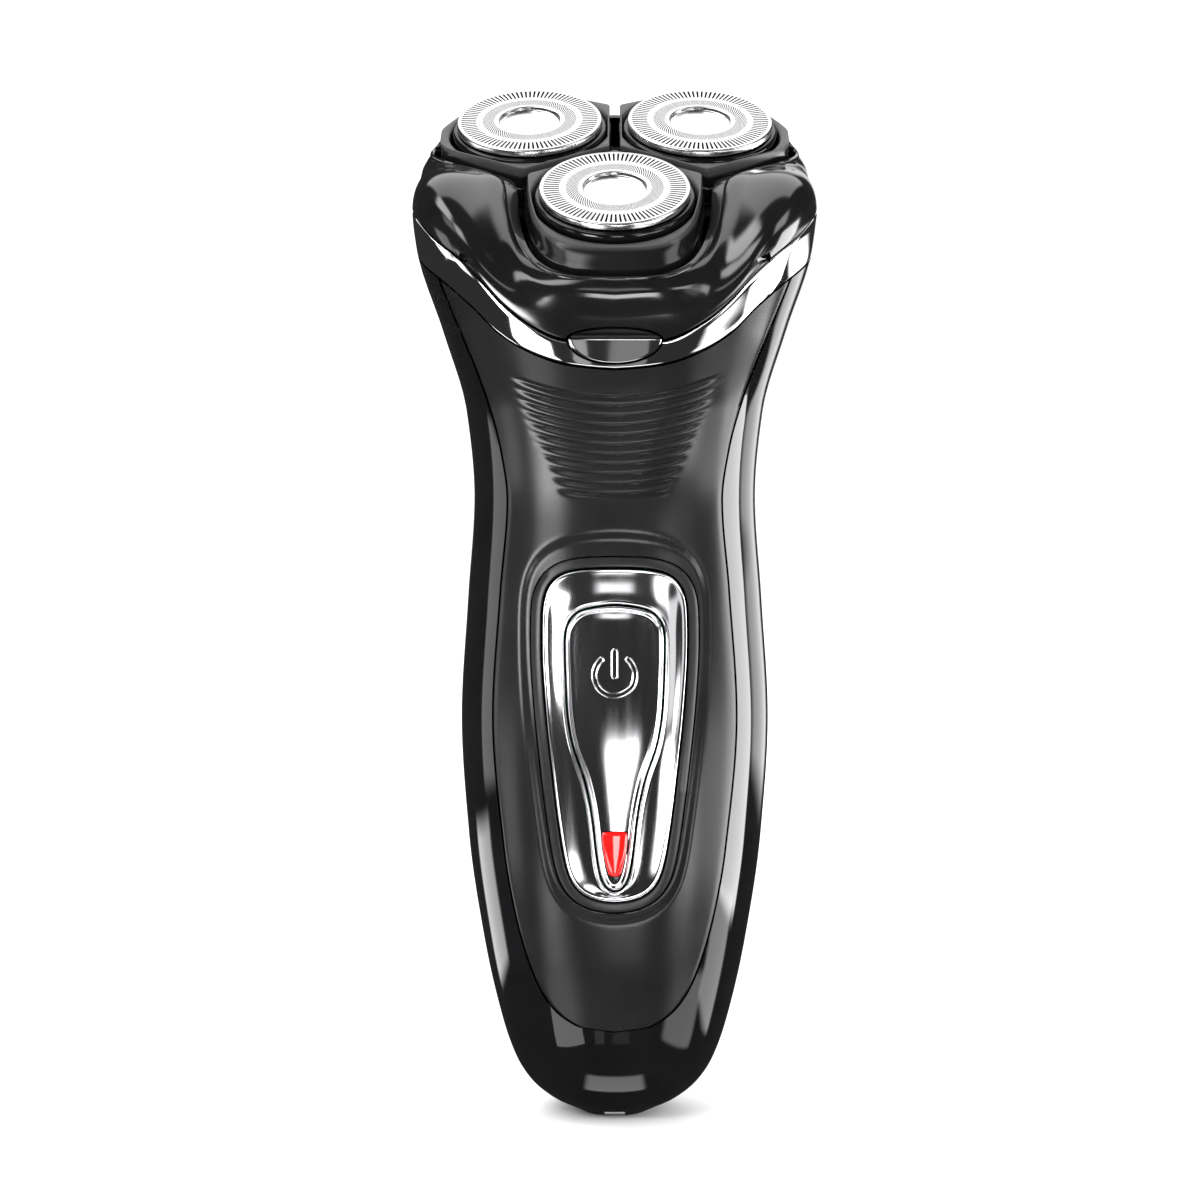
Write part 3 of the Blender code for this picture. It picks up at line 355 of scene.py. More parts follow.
def offset(outline, distance):
    """Outline moved outwards along its normals."""
    along = np.roll(outline, -1, axis=0) - np.roll(outline, 1, axis=0)
    along /= np.hypot(*along.T)[:, None]
    return outline + distance * np.stack((along[:, 1], -along[:, 0]), axis=-1)


def outline_of(table, grow=0.0, count=168, soften=8):
    """Outline of a (height, half width) table, from its lowest point by +X to the top."""
    z = table[0][0] + (table[-1][0] - table[0][0]) * (1 - np.cos(np.linspace(0, np.pi, 200))) / 2
    x = curve_value(table, z)
    right = np.stack((x, z), axis=-1)
    left = right[-2:0:-1] * (-1, 1)
    return offset(resampled(np.vstack((right, left)), count, soften), grow)


def rounded_box(half, low, high, power=5.0, count=120):
    """Superellipse outline in the X, Z plane, from its lowest point by +X."""
    a = turns(720)
    x = half * signed_power(np.sin(a), 2 / power)
    z = (low + high) / 2 - (high - low) / 2 * signed_power(np.cos(a), 2 / power)
    return resampled(np.stack((x, z), axis=-1), count)


def on_skin(outline, lift, side=-1):
    """Outline laid on the body's surface and raised by lift."""
    x, z = np.asarray(outline).T
    return np.stack((x, surface_y(x, z, side) + side * lift, z), axis=-1)


def narrowed(outline, share):
    """Outline squeezed towards its middle line, and a little towards its middle."""
    middle = outline[:, 1].mean()
    return np.stack((outline[:, 0] * share, middle + (outline[:, 1] - middle) * (0.9 + 0.1 * share)), axis=-1)


def inlay(outline, profile, crown=0.0, side=-1):
    """Plate laid in the body's surface: (inset, lift) points of its edge from below, then a crowned top."""
    loops = [on_skin(narrowed(outline, share), profile[0][1], side) for share in (0.02, 0.5)]
    loops += [on_skin(offset(outline, -inset), lift, side) for inset, lift in profile]
    edge, lift = offset(outline, -profile[-1][0]), profile[-1][1]
    loops += [on_skin(narrowed(edge, share), lift + crown * (1 - share * share), side)
              for share in (0.92, 0.8, 0.66, 0.5, 0.34, 0.18, 0.05)]
    return skin(loops, zipped=True)


def prism(outline, low, high):
    """Outline in the X, Z plane swept between two depths."""
    return skin([np.array([(x, depth, z) for x, z in outline]) for depth in (low, high)])


def distance_outside(outline, x, z):
    """Distance of each point x, z from an outline: negative inside it."""
    a = np.asarray(outline)
    b = np.roll(a, -1, axis=0)
    best = np.full(x.shape, 1e9)
    crossings = np.zeros(x.shape, int)
    for (ax, az), (bx, bz) in zip(a, b):
        ex, ez = bx - ax, bz - az
        t = np.clip(((x - ax) * ex + (z - az) * ez) / (ex * ex + ez * ez), 0, 1)
        best = np.minimum(best, np.hypot(x - ax - t * ex, z - az - t * ez))
        crosses = (az > z) != (bz > z)
        crossings += crosses & (x < ax + ex * (z - az) / (ez if ez else 1))
    return np.where(crossings % 2 == 1, -best, best)


def tube(path, radius, sides=8):
    """Round tube along a closed path, its rings square to the path."""
    path = np.asarray(path, float)
    along = np.roll(path, -1, axis=0) - np.roll(path, 1, axis=0)
    along /= np.linalg.norm(along, axis=1)[:, None]
    across = np.cross(along, (0.0, 1.0, 0.0))
    across /= np.linalg.norm(across, axis=1)[:, None]
    up = np.cross(across, along)
    loops = [path + radius * (math.cos(a) * across + math.sin(a) * up)
             for a in (2 * math.pi * k / sides for k in range(sides))]
    return skin(loops, ring=True)


# ---------------------------------------------------------------- materials

class Nodes:
    """Small helper that builds one procedural material in the object's own space."""

    def __init__(self, name, **sockets):
        self.material = bpy.data.materials.new(name)
        self.material.use_nodes = True
        self.tree = self.material.node_tree
        self.shader = self.tree.nodes["Principled BSDF"]
        for socket, value in sockets.items():
            self.shader.inputs[socket.replace("_", " ").title().replace("Ior", "IOR")].default_value = value
        self.place = self.add("ShaderNodeTexCoord").outputs["Object"]

    def add(self, kind, **settings):
        node = self.tree.nodes.new(kind)
        for key, value in settings.items():
            setattr(node, key, value)
        return node

    def link(self, source, target):
        self.tree.links.new(source, target)

    def stretched(self, scale):
        """Object coordinates scaled by a triple, in one over metres."""
        mapping = self.add("ShaderNodeMapping")
        mapping.inputs["Scale"].default_value = scale
        self.link(self.place, mapping.inputs["Vector"])
        return mapping.outputs["Vector"]

    def noise(self, scale, detail=4.0, stretch=None, rough=0.55):
        """Noise from 0 to 1, its scale in one over metres."""
        node = self.add("ShaderNodeTexNoise")
        node.inputs["Scale"].default_value = scale
        node.inputs["Detail"].default_value = detail
        node.inputs["Roughness"].default_value = rough
        self.link(self.stretched(stretch) if stretch else self.place, node.inputs["Vector"])
        return node.outputs["Fac"]

    def spread(self, value, low, high, start=0.3, end=0.7):
        """Value remapped from start..end to low..high."""
        node = self.add("ShaderNodeMapRange", clamp=True)
        for key, number in (("From Min", start), ("From Max", end), ("To Min", low), ("To Max", high)):
            node.inputs[key].default_value = number
        self.link(value, node.inputs["Value"])
        return node.outputs["Result"]

    def mix(self, kind, value, first, second):
        """Value or colour between two by value: each is a socket or, for a colour, a triple."""
        node = self.add("ShaderNodeMix", data_type=kind)
        self.link(value, node.inputs[0])
        a, b, result = (6, 7, 2) if kind == 'RGBA' else (2, 3, 0)
        for place, source in ((a, first), (b, second)):
            if isinstance(source, tuple):
                node.inputs[place].default_value = (*source, 1)
            else:
                self.link(source, node.inputs[place])
        return node.outputs[result]

    def blend(self, value, first, second):
        """Colour between two by value."""
        return self.mix('RGBA', value, first, second)

    def uneven(self, scale, dark, light, detail=5.0):
        """Colour that wanders between two, its patches sized by scale."""
        return self.blend(self.spread(self.noise(scale, detail), 0.0, 1.0), dark, light)

    def product(self, first, second):
        """Product of two sockets."""
        node = self.add("ShaderNodeMath", operation='MULTIPLY')
        self.link(first, node.inputs[0])
        self.link(second, node.inputs[1])
        return node.outputs[0]

    def bump(self, *layers):
        """Stacked bumps from (height, depth in metres) pairs."""
        normal = None
        for height, depth in layers:
            node = self.add("ShaderNodeBump")
            node.inputs["Distance"].default_value = depth
            node.inputs["Strength"].default_value = 1.0
            self.link(height, node.inputs["Height"])
            if normal:
                self.link(normal, node.inputs["Normal"])
            normal = node.outputs["Normal"]
        self.link(normal, self.shader.inputs["Normal"])

    def colour(self, socket):
        self.link(socket, self.shader.inputs["Base Color"])

    def roughness(self, socket):
        self.link(socket, self.shader.inputs["Roughness"])


def plastic(name, dark, light, rough, grain, depth, wear=0.6, specular=0.5):
    """Moulded plastic: slightly uneven colour, handling marks in its gloss and a fine grain."""
    n = Nodes(name, specular_ior_level=specular)
    n.colour(n.uneven(90.0, dark, light))
    marks = n.noise(240.0, 6.0, (1.0, 1.0, 0.35), 0.7)
    n.roughness(n.spread(marks, rough, rough * (1 + wear), 0.45, 0.8))
    n.bump((n.noise(grain, 3.0), depth), (n.noise(120.0, 1.0), depth * 1.5))
    return n.material


def metal(name, dark, light, rough, stretch, depth=0.000002):
    """Metal with fine scratches along one direction."""
    n = Nodes(name, metallic=1.0)
    lines = n.noise(60.0, 6.0, stretch, 0.7)
    n.colour(n.blend(n.spread(lines, 0.0, 1.0), dark, light))
    n.roughness(n.spread(lines, rough, rough * 1.8))
    n.bump((lines, depth))
    return n.material


def axis_places(n, centre, axis):
    """Sockets with the distance from an axis, and the height along it, of every surface point."""
    shift = n.add("ShaderNodeVectorMath", operation='SUBTRACT')
    n.link(n.place, shift.inputs[0])
    shift.inputs[1].default_value = centre
    sockets = []
    for operation, output in (('CROSS_PRODUCT', "Vector"), ('DOT_PRODUCT', "Value")):
        node = n.add("ShaderNodeVectorMath", operation=operation)
        n.link(shift.outputs["Vector"], node.inputs[0])
        node.inputs[1].default_value = axis
        sockets.append(node.outputs[output])
    length = n.add("ShaderNodeVectorMath", operation='LENGTH')
    n.link(sockets[0], length.inputs[0])
    return length.outputs["Value"], sockets[1]


def brushed_disc(name, centre, axis):
    """Guard steel, turned in rings round its own axis. Its slot walls below the plate's face carry painted
    shade, nearly black.
    """
    n = Nodes(name, metallic=1.0)
    radius, height = axis_places(n, centre, axis)
    rings = n.add("ShaderNodeTexNoise", noise_dimensions='1D')
    rings.inputs["Scale"].default_value = 5200.0
    rings.inputs["Detail"].default_value = 3.0
    n.link(radius, rings.inputs["W"])
    steel = n.blend(n.spread(rings.outputs["Fac"], 0.0, 1.0), (0.80, 0.80, 0.81), (0.94, 0.94, 0.95))
    # Painted shade: below the plate's face, outside the dish and inside the rim, the slot walls blend to near
    # black.
    deep = n.spread(height, 1.0, 0.0, -0.00030, -0.00005)
    outer = n.spread(radius, 0.0, 1.0, 0.0051, 0.0053)         # 1 outside the dished middle
    inner = n.spread(radius, 1.0, 0.0, 0.01095, 0.01105)       # 1 inside the rim
    n.colour(n.blend(n.product(n.product(deep, outer), inner), steel, (0.03, 0.03, 0.032)))
    n.roughness(n.spread(n.noise(500.0, 4.0), 0.20, 0.27))
    n.bump((rings.outputs["Fac"], 0.0000006))
    return n.material


def holder_plastic(name, centre, axis):
    """Holder plastic: a satin top above a glossy black skirt. The top's paler grey is partly its own colour
    and partly painted sheen of the top light.
    """
    n = Nodes(name)
    _, height = axis_places(n, centre, axis)
    top = n.spread(height, 0.0, 1.0, -0.0030, -0.0025)
    black = n.uneven(90.0, (0.006, 0.006, 0.0065), (0.010, 0.010, 0.0105))
    # The top's grey: partly the satin top's own colour, partly painted sheen of the top light.
    pale = n.uneven(140.0, (0.048, 0.048, 0.050), (0.062, 0.062, 0.064))
    n.colour(n.blend(top, black, pale))
    gloss = n.spread(n.noise(240.0, 6.0, (1.0, 1.0, 0.35), 0.7), 0.12, 0.17)
    satin = n.spread(n.noise(300.0, 6.0, None, 0.7), 0.34, 0.42)
    n.roughness(n.mix('FLOAT', top, gloss, satin))
    n.bump((n.noise(2200.0, 3.0), 0.0000012))
    return n.material


def circuit_board():
    """Green solder mask with copper tracks under it and rows of tinned pads."""
    n = Nodes("board_green")
    tracks = n.add("ShaderNodeTexBrick", offset=0.37, squash=0.6)
    for key, value in (("Scale", 260.0), ("Mortar Size", 0.09), ("Brick Width", 1.3), ("Row Height", 0.42)):
        tracks.inputs[key].default_value = value
    turn = n.add("ShaderNodeMapping")
    turn.inputs["Rotation"].default_value = (math.pi / 2, 0, 0)
    n.link(n.place, turn.inputs["Vector"])
    n.link(turn.outputs["Vector"], tracks.inputs["Vector"])
    base = n.blend(tracks.outputs["Fac"], (0.012, 0.10, 0.035), (0.03, 0.22, 0.07))
    pads = n.add("ShaderNodeTexVoronoi")
    pads.inputs["Scale"].default_value = 330.0
    pads.inputs["Randomness"].default_value = 0.35
    n.link(n.place, pads.inputs["Vector"])
    dots = n.spread(pads.outputs["Distance"], 1.0, 0.0, 0.2, 0.24)
    n.colour(n.blend(dots, base, (0.72, 0.72, 0.68)))
    n.roughness(n.spread(dots, 0.42, 0.25, 0.0, 1.0))
    n.bump((tracks.outputs["Fac"], 0.00003), (dots, 0.00005))
    return n.material


def battery_wrap():
    """Shrink-wrapped cell: blue film with lengthwise creases and a plain pale band."""
    n = Nodes("battery_wrap", coat_weight=0.5, coat_roughness=0.12)
    split = n.add("ShaderNodeSeparateXYZ")
    n.link(n.place, split.inputs["Vector"])
    creases = n.noise(220.0, 4.0, (1.0, 1.0, 0.08))
    film = n.blend(n.spread(creases, 0.0, 1.0), (0.02, 0.10, 0.30), (0.04, 0.17, 0.42))
    band = n.spread(split.outputs["Z"], 0.0, 1.0, 0.0640, 0.0641)
    n.colour(n.blend(band, film, (0.62, 0.64, 0.66)))
    n.roughness(n.spread(creases, 0.28, 0.45))
    n.bump((creases, 0.00004))
    return n.material


def red_lens():
    """Clear red moulding with a slightly deeper colour in streaks."""
    n = Nodes("lens_red", roughness=0.08, coat_weight=1.0, coat_roughness=0.03, ior=1.5)
    streaks = n.spread(n.noise(700.0, 3.0, (1.0, 1.0, 0.3)), 0.0, 1.0)
    n.colour(n.blend(streaks, (0.62, 0.004, 0.004), (0.85, 0.012, 0.01)))
    n.roughness(n.spread(n.noise(900.0, 3.0), 0.05, 0.12))
    n.bump((n.noise(600.0, 1.0), 0.00001))
    return n.material


# Plastics: darker and lighter colour, roughness, grain per metre, its depth in metres, wear, specular level.
PLASTICS = {
    "back_gloss": ((0.0035, 0.0035, 0.004), (0.006, 0.006, 0.0065), 0.035, 900.0, 4e-7, 0.6, 0.7),
    "front_satin": ((0.0075, 0.0075, 0.008), (0.0125, 0.0125, 0.013), 0.23, 2600.0, 2.2e-6, 0.25, 0.42),
    "collar_gloss": ((0.004, 0.004, 0.0045), (0.007, 0.007, 0.0075), 0.11, 1200.0, 6e-7, 0.4, 0.95),
    "holder_black": ((0.014, 0.014, 0.015), (0.022, 0.022, 0.023), 0.2, 2200.0, 2e-6, 0.4),
    "bezel_black": ((0.009, 0.009, 0.0095), (0.014, 0.014, 0.0145), 0.3, 3000.0, 3e-6, 0.3),
    "ring_gloss": ((0.003, 0.003, 0.0035), (0.005, 0.005, 0.0055), 0.04, 900.0, 4e-7),
    "grey_plastic": ((0.055, 0.056, 0.06), (0.085, 0.086, 0.09), 0.38, 1800.0, 1e-5),
    "gear_plastic": ((0.62, 0.61, 0.56), (0.74, 0.73, 0.68), 0.34, 2000.0, 6e-6),
    "seal_rubber": ((0.018, 0.018, 0.018), (0.035, 0.035, 0.034), 0.62, 2600.0, 2e-5, 0.3),
    "inner_black": ((0.012, 0.012, 0.012), (0.022, 0.022, 0.022), 0.42, 1800.0, 8e-6),
}
# Metals: darker and lighter colour, roughness, how the scratches are stretched, and their depth in metres.
METALS = {
    "chrome_trim": ((0.80, 0.80, 0.81), (0.88, 0.88, 0.89), 0.035, (1.0, 1.0, 6.0), 2e-7),
    "chrome_panel": ((0.78, 0.78, 0.80), (0.86, 0.86, 0.88), 0.075, (8.0, 1.0, 0.6), 2e-7),
    "chrome_line": ((0.88, 0.88, 0.89), (0.95, 0.95, 0.96), 0.16, (5.0, 5.0, 5.0)),
    "blade_steel": ((0.60, 0.61, 0.62), (0.78, 0.79, 0.80), 0.2, (14.0, 1.0, 1.0)),
    "bright_steel": ((0.58, 0.59, 0.60), (0.74, 0.75, 0.76), 0.22, (6.0, 6.0, 1.0)),
    "motor_steel": ((0.45, 0.46, 0.47), (0.62, 0.63, 0.64), 0.28, (1.0, 1.0, 9.0)),
    "contact_brass": ((0.62, 0.44, 0.19), (0.80, 0.62, 0.30), 0.24, (5.0, 5.0, 1.0)),
}


def make_looks():
    """Every material by its name."""
    looks = {name: plastic(name, *row) for name, row in PLASTICS.items()}
    looks.update((name, metal(name, *row)) for name, row in METALS.items())
    looks.update(board_green=circuit_board(), battery_wrap=battery_wrap(), lens_red=red_lens())
    for name, azimuth in UNITS:
        unit = head_matrix(azimuth, UNIT_RADIUS, UNIT_CANT)
        centre = (unit.translation - Vector((0, MIDDLE_Y, 0))) * MM
        axis = unit.to_3x3() @ Vector((0, 0, 1))
        looks[f"guard_{name}"] = brushed_disc(f"guard_{name}", centre, axis)
        looks[f"holder_{name}"] = holder_plastic(f"holder_{name}", centre, axis)
    return looks


LOOKS = make_looks()


# ---------------------------------------------------------------- handle

def rib_depth(x, z):
    """Depth of the finger grooves in the neck: they rise towards both sides and fade out there."""
    depth = np.zeros(x.shape)
    for k in range(RIB_COUNT):
        share = k / (RIB_COUNT - 1)
        half = 17.5 - 8.5 * share
        rise = 4.0 - 3.3 * share
        line = RIB_TOP - k * RIB_PITCH + rise * (x / half) ** 2
        fade = smooth_step((half - np.abs(x)) / (0.35 * half))
        step = (z - line) / RIB_PITCH
        groove = np.where(step > 0, np.exp(-(step / 0.16) ** 2), np.exp(-(step / 0.34) ** 2))
        depth = np.maximum(depth, RIB_DEPTH * fade * groove)
    return depth


def front_shell_depth(x, z):
    """How far the front shell's surface is sunk at x, z."""
    outside = distance_outside(outline_of(RECESS, count=96), x, z)
    recess = RECESS_DEPTH * smooth_step(1 - outside / RECESS_BEVEL)
    return recess + rib_depth(x, z)


def front_shell_rows():
    """Shares of the front shell's height: dense at the round bottom and across the ribs."""
    parts = [0.02 * np.linspace(0.015, 1, 34, endpoint=False) ** 1.6]
    for start, end, count in ((0.02, 0.12, 20), (0.12, 0.79, 130), (0.79, 0.985, 136)):
        parts.append(np.linspace(start, end, count, endpoint=False))
    return np.concatenate((*parts, np.linspace(0.985, 1.0, 5)))


def front_shell_top(share):
    """Height at which each column of the front shell meets the band."""
    top = np.full(len(share), 117.0)
    for _ in range(40):
        x = share * (curve_value(SHELL_SEAM, top) - GAP / 2)
        half, front, _, power = section(top)
        s = signed_power(x / half, power / 2)
        c = signed_power(-surface_y(x, top, -1) / front, power / 2)
        top = edge_height(BAND_LOW, np.degrees(np.arctan2(s, c)))
    return top


def front_shell_mesh():
    """Closed sheet between the seams, with its outer side sunk at the ribs, the recess and the seam."""
    share = np.linspace(-1, 1, SHELL_COLUMNS)
    low, top, rows = SHELL_SEAM[0][0], front_shell_top(share), front_shell_rows()
    z = low + (top - low)[None, :] * rows[:, None]
    x = share[None, :] * np.maximum(0.05, curve_value(SHELL_SEAM, z) - GAP / 2)
    edge = (1 - np.abs(share))[None, :] * np.maximum(x.max(axis=1), 1.0)[:, None]
    sunk = front_shell_depth(x, z) + SEAM_DEPTH * smooth_step(1 - edge / SEAM_BEVEL)
    outer = np.stack((x, surface_y(x, z, -1) + sunk, z), axis=-1)
    inner = np.stack((x, surface_y(x, z, -1) + WALL, z), axis=-1)
    loops = np.concatenate((outer, inner[:, ::-1]), axis=1)
    verts, faces = skin(loops, ring=True)
    count, last = loops.shape[1], (len(rows) - 1) * loops.shape[1]
    faces = [face for face in faces if not (min(face) < count and max(face) >= last)]
    for start in (0, last):
        faces += [(start + i, start + i + 1, start + count - 2 - i, start + count - 1 - i)
                  for i in range(SHELL_COLUMNS - 1)]
    return verts, faces


def make_front_shell():
    """Satin front shell: ribs across the neck and a bevelled recess round the switch."""
    shell = raw("front_shell_skin", *front_shell_mesh())
    carve(shell, prism(outline_of(PANEL, 2.0), -30, -8))
    dress(shell, "handle", "front_satin", "handle_satin_black", "front_shell")


def cup():
    """The whole handle as one cup with the socket's hole in its base."""
    rows, inner_rows = 90, 16
    top = edge_height(BAND_LOW, ANGLES)
    hole = ((SOCKET_RADIUS, WALL), (SOCKET_RADIUS, 0.15), (SOCKET_RADIUS + 0.15, 0.0))
    loops = [ring_points(radius, np.radians(ANGLES), z) for radius, z in hole]
    loops += [body_point(ANGLES, top * (r / rows) ** 1.6) for r in range(rows + 1)]
    loops += [body_point(ANGLES, WALL + (top - WALL) * (r / inner_rows) ** 1.5, WALL)
              for r in range(inner_rows, -1, -1)]
    return skin(loops, ring=True)


def seam_outline(grow):
    """Outline of the front shell seen from the front."""
    low, high = SHELL_SEAM[0][0], SHELL_SEAM[-1][0]
    z = low + (high - low) * np.linspace(0.0005, 1, 170) ** 1.6
    drop = grow * (1 - np.linspace(0, 1, 170)) ** 8
    right = np.stack((curve_value(SHELL_SEAM, z) + grow, z - drop), axis=-1)
    return np.vstack((right, right[::-1] * (-1, 1)))


def screw_frame(z):
    """Frame on the back surface whose Z points forwards, into the handle."""
    return Matrix.Translation((0, float(surface_y(0.0, z, 1)), z)) @ Matrix.Rotation(math.pi / 2, 4, 'X')


def make_back_shell():
    """Gloss back shell, open at the front along the seam."""
    shell = raw("back_shell_skin", *cup())
    carve(shell, prism(seam_outline(GAP / 2), -60, -4))
    tray = rounded_box(TRIMMER_HALF + 0.8, TRIMMER_LOW - 0.8, TRIMMER_TOP + 0.8)
    carve(shell, prism(tray, 10, 30))
    carve(shell, boxed((-1.7, 10, 67.6), (1.7, 30, 76.8)))
    carve(shell, boxed((-1.6, -9, -1), (1.6, -3.4, 0.9)))
    hole = ((2.2, -2.0), (2.2, 0.0), (2.0, 0.35), (2.0, 0.8), (1.3, 0.8), (1.3, 6.0))
    for _, z, _ in CASE_SCREWS:
        carve(shell, turned(screw_frame(z), hole, 48))
    dress(shell, "handle", "back_gloss", "handle_gloss_black", "back_shell")


def make_case_screws():
    """Cross-head screws in the back shell."""
    for name, z, reach in CASE_SCREWS:
        place = screw_frame(z)
        profile = [(1.35, -0.3), (1.6, -0.2), (1.7, 0.0), (1.7, 0.5), (1.0, 0.5)]
        profile += [(1.0 + 0.12 * (k % 2), 0.9 + k * 0.25) for k in range(int((reach - 1.2) / 0.25))]
        screw = raw(f"case_screw_{name}_fine", *turned(place, profile + [(0.6, reach)], 32))
        for low, high in (((-1.0, -0.19, -0.6), (1.0, 0.19, 0.1)), ((-0.19, -1.0, -0.6), (0.19, 1.0, 0.1))):
            carve(screw, boxed(low, high, place))
        dress(screw, "handle", "bright_steel", "bright_steel", f"case_screw_{name}")


def release_outline(grow=0.0, count=120):
    """Half moon with a deep arc below its widest line and a shallow one above."""
    a = turns(count)
    tall = np.where(np.cos(a) > 0, RELEASE_DOWN, RELEASE_UP) + grow
    return np.stack(((RELEASE_HALF + grow) * np.sin(a), RELEASE_Z - tall * np.cos(a)), axis=-1)


def release_opening():
    """Shape of the release button's opening."""
    return prism(release_outline(GAP), -40, -15)


def make_band():
    """Chrome trim ring between handle and head, with a fine bevel along both edges."""
    low, high = edge_height(BAND_LOW, ANGLES) + GAP, edge_height(BAND_TOP, ANGLES)
    tall = high - low
    rows = [(low, 0.2), (low + 0.12, 0.02)]
    rows += [(low + 0.3 + (tall - 0.6) * k, 0.0) for k in np.linspace(0.0, 1.0, 7)]
    rows += [(high - 0.2, 0.03), (high - 0.1, 0.1), (high, 0.3)]
    rows += [(low + tall * k, WALL) for k in (1.0, 0.5, 0.0)]
    loops = [body_point(ANGLES, z, inset) for z, inset in rows]
    band = carve(raw("chrome_band_fine", *skin(loops, ring=True)), release_opening())
    dress(band, "handle", "chrome_trim", "chrome_trim", "chrome_band", sharp=50)


def make_release():
    """Half-moon release button with a fine shelf along its straight edge, and the dark seat above it."""
    full = release_outline(count=400)
    moon = resampled(np.stack((full[:, 0], np.minimum(full[:, 1], RELEASE_Z)), axis=-1), 200)
    face = ((0.0, -2.0), (0.0, 0.12), (0.05, 0.24), (0.14, 0.28))
    button = raw("release_button_face", *inlay(moon, face))
    dress(button, "release_button", "chrome_trim", "chrome_trim", "release_button", sharp=50)
    low, high = (RELEASE_HALF - 0.25, RELEASE_Z + 0.1), (RELEASE_HALF - 0.6, RELEASE_Z + 0.5)
    shelf = resampled(np.array(((-low[0], low[1]), low, high, (-high[0], high[1]))), 120)
    lip = raw("release_button_shelf", *inlay(shelf, ((0.0, -2.0), (0.0, -0.2), (0.08, -0.12))))
    dress(lip, "release_button", "holder_black", "inner_plastic")
    deep = ((0.0, -2.2), (0.0, -1.75), (0.3, -1.6))
    seat = raw("release_button_seat", *inlay(release_outline(-0.02, 160), deep))
    dress(seat, "release_button", "inner_black", "inner_plastic")


# ---------------------------------------------------------------- switch

def make_switch_bezel():
    """Dark frame sunk between the front shell and the chrome panel."""
    outer, inner = outline_of(PANEL, 1.8), outline_of(PANEL, GAP)
    loops = [on_skin(outer, -2.6), on_skin(outer, -0.75), on_skin(offset(outer, -0.15), -0.6),
             on_skin(offset(inner, 0.25), -0.5), on_skin(offset(inner, 0.08), -0.56), on_skin(inner, -0.7),
             on_skin(inner, -2.6)]
    bezel = raw("switch_bezel_fine", *skin(loops, ring=True))
    dress(bezel, "handle", "bezel_black", "bezel_black", "switch_bezel")


def make_switch_panel():
    """Chrome panel: a bright rounded rim outside, and a fine raised line round the button."""
    outer, hole = outline_of(PANEL), outline_of(BUTTON, GAP)
    loops = [on_skin(hole, -1.4), on_skin(outer, -1.4), on_skin(outer, -0.3)]
    for inset, lift in ((0.03, -0.05), (0.07, 0.03), (0.13, 0.06), (0.19, 0.04), (0.26, 0.0), (0.5, 0.0)):
        loops.append(on_skin(offset(outer, -inset), lift))
    start, end = offset(outer, -0.75), offset(hole, 0.62)
    for share in np.linspace(0, 1, 9):
        dome = 0.02 + 0.3 * math.sin(share * math.pi / 2)
        loops.append(on_skin(start * (1 - share) + end * share, dome))
    for out, lift in ((0.5, 0.33), (0.4, 0.42), (0.28, 0.46), (0.15, 0.42), (0.04, 0.3), (0.0, 0.1)):
        loops.append(on_skin(offset(hole, out), lift))
    panel = raw("switch_panel_fine", *skin(loops, ring=True))
    dress(panel, "handle", "chrome_panel", "chrome_panel", "switch_panel", sharp=60)


def make_power_button():
    """Chrome power button with a raised rim, and the red lens in its lower end."""
    edge = ((0.0, -1.8), (0.0, 0.2), (0.06, 0.4), (0.2, 0.52), (0.36, 0.52), (0.5, 0.4), (0.6, 0.3),
            (0.8, 0.28))
    button = raw("power_button_fine", *inlay(outline_of(BUTTON), edge, crown=0.16))
    carve(button, prism(outline_of(LENS, 0.2, 60, 1), -40, -10))
    dress(button, "power_button", "chrome_panel", "chrome_panel", "power_button", sharp=60)
    gem = ((0.0, -1.5), (0.0, 0.42), (0.12, 0.6), (0.3, 0.68))
    lens = raw("indicator_lens_fine", *inlay(outline_of(LENS, 0.05, 60, 1), gem, crown=0.18))
    dress(lens, "power_button", "lens_red", "lens_red", "indicator_lens")


def make_power_symbol():
    """Power symbol drawn by a fine raised line round its arc and its stroke."""
    arc = np.linspace(SYMBOL_OPEN, 2 * math.pi - SYMBOL_OPEN, 61)
    outline = [*symbol_arc(SYMBOL_RADIUS + SYMBOL_HALF, arc), *round_end(arc[-1]),
               *symbol_arc(SYMBOL_RADIUS - SYMBOL_HALF, arc[::-1]), *reversed(round_end(arc[0]))]
    stroke = [(STROKE_HALF * math.sin(a), end - STROKE_HALF * math.cos(a))
              for end, start in zip(STROKE_ENDS, (-math.pi / 2, math.pi / 2))
              for a in np.linspace(start, start + math.pi, 9)]
    tubes = []
    for shape in (outline, stroke):
        flat = resampled(np.array(shape) + (0, SYMBOL_Z), 130)
        share = np.abs(flat[:, 0]) / curve_value(BUTTON, flat[:, 1])
        tubes.append(tube(on_skin(flat, 0.28 + 0.16 * (1 - share ** 2)), 0.13))
    symbol = raw("power_symbol", *joined(*tubes))
    dress(symbol, "power_button", "chrome_line", "chrome_panel")


def symbol_arc(radius, angles):
    """Points round the power symbol's centre at angles from its top."""
    return [(radius * math.sin(a), radius * math.cos(a)) for a in angles]


def round_end(angle, steps=6):
    """Half circle that closes the power symbol's arc at an angle, from its outer edge to its inner one."""
    cx, cz = SYMBOL_RADIUS * math.sin(angle), SYMBOL_RADIUS * math.cos(angle)
    way = 1 if angle > math.pi else -1
    return [(cx + SYMBOL_HALF * (math.sin(angle) * math.cos(t) + way * math.cos(angle) * math.sin(t)),
             cz + SYMBOL_HALF * (math.cos(angle) * math.cos(t) - way * math.sin(angle) * math.sin(t)))
            for t in (math.pi * (k + 1) / (steps + 1) for k in range(steps))]


# ---------------------------------------------------------------- collar

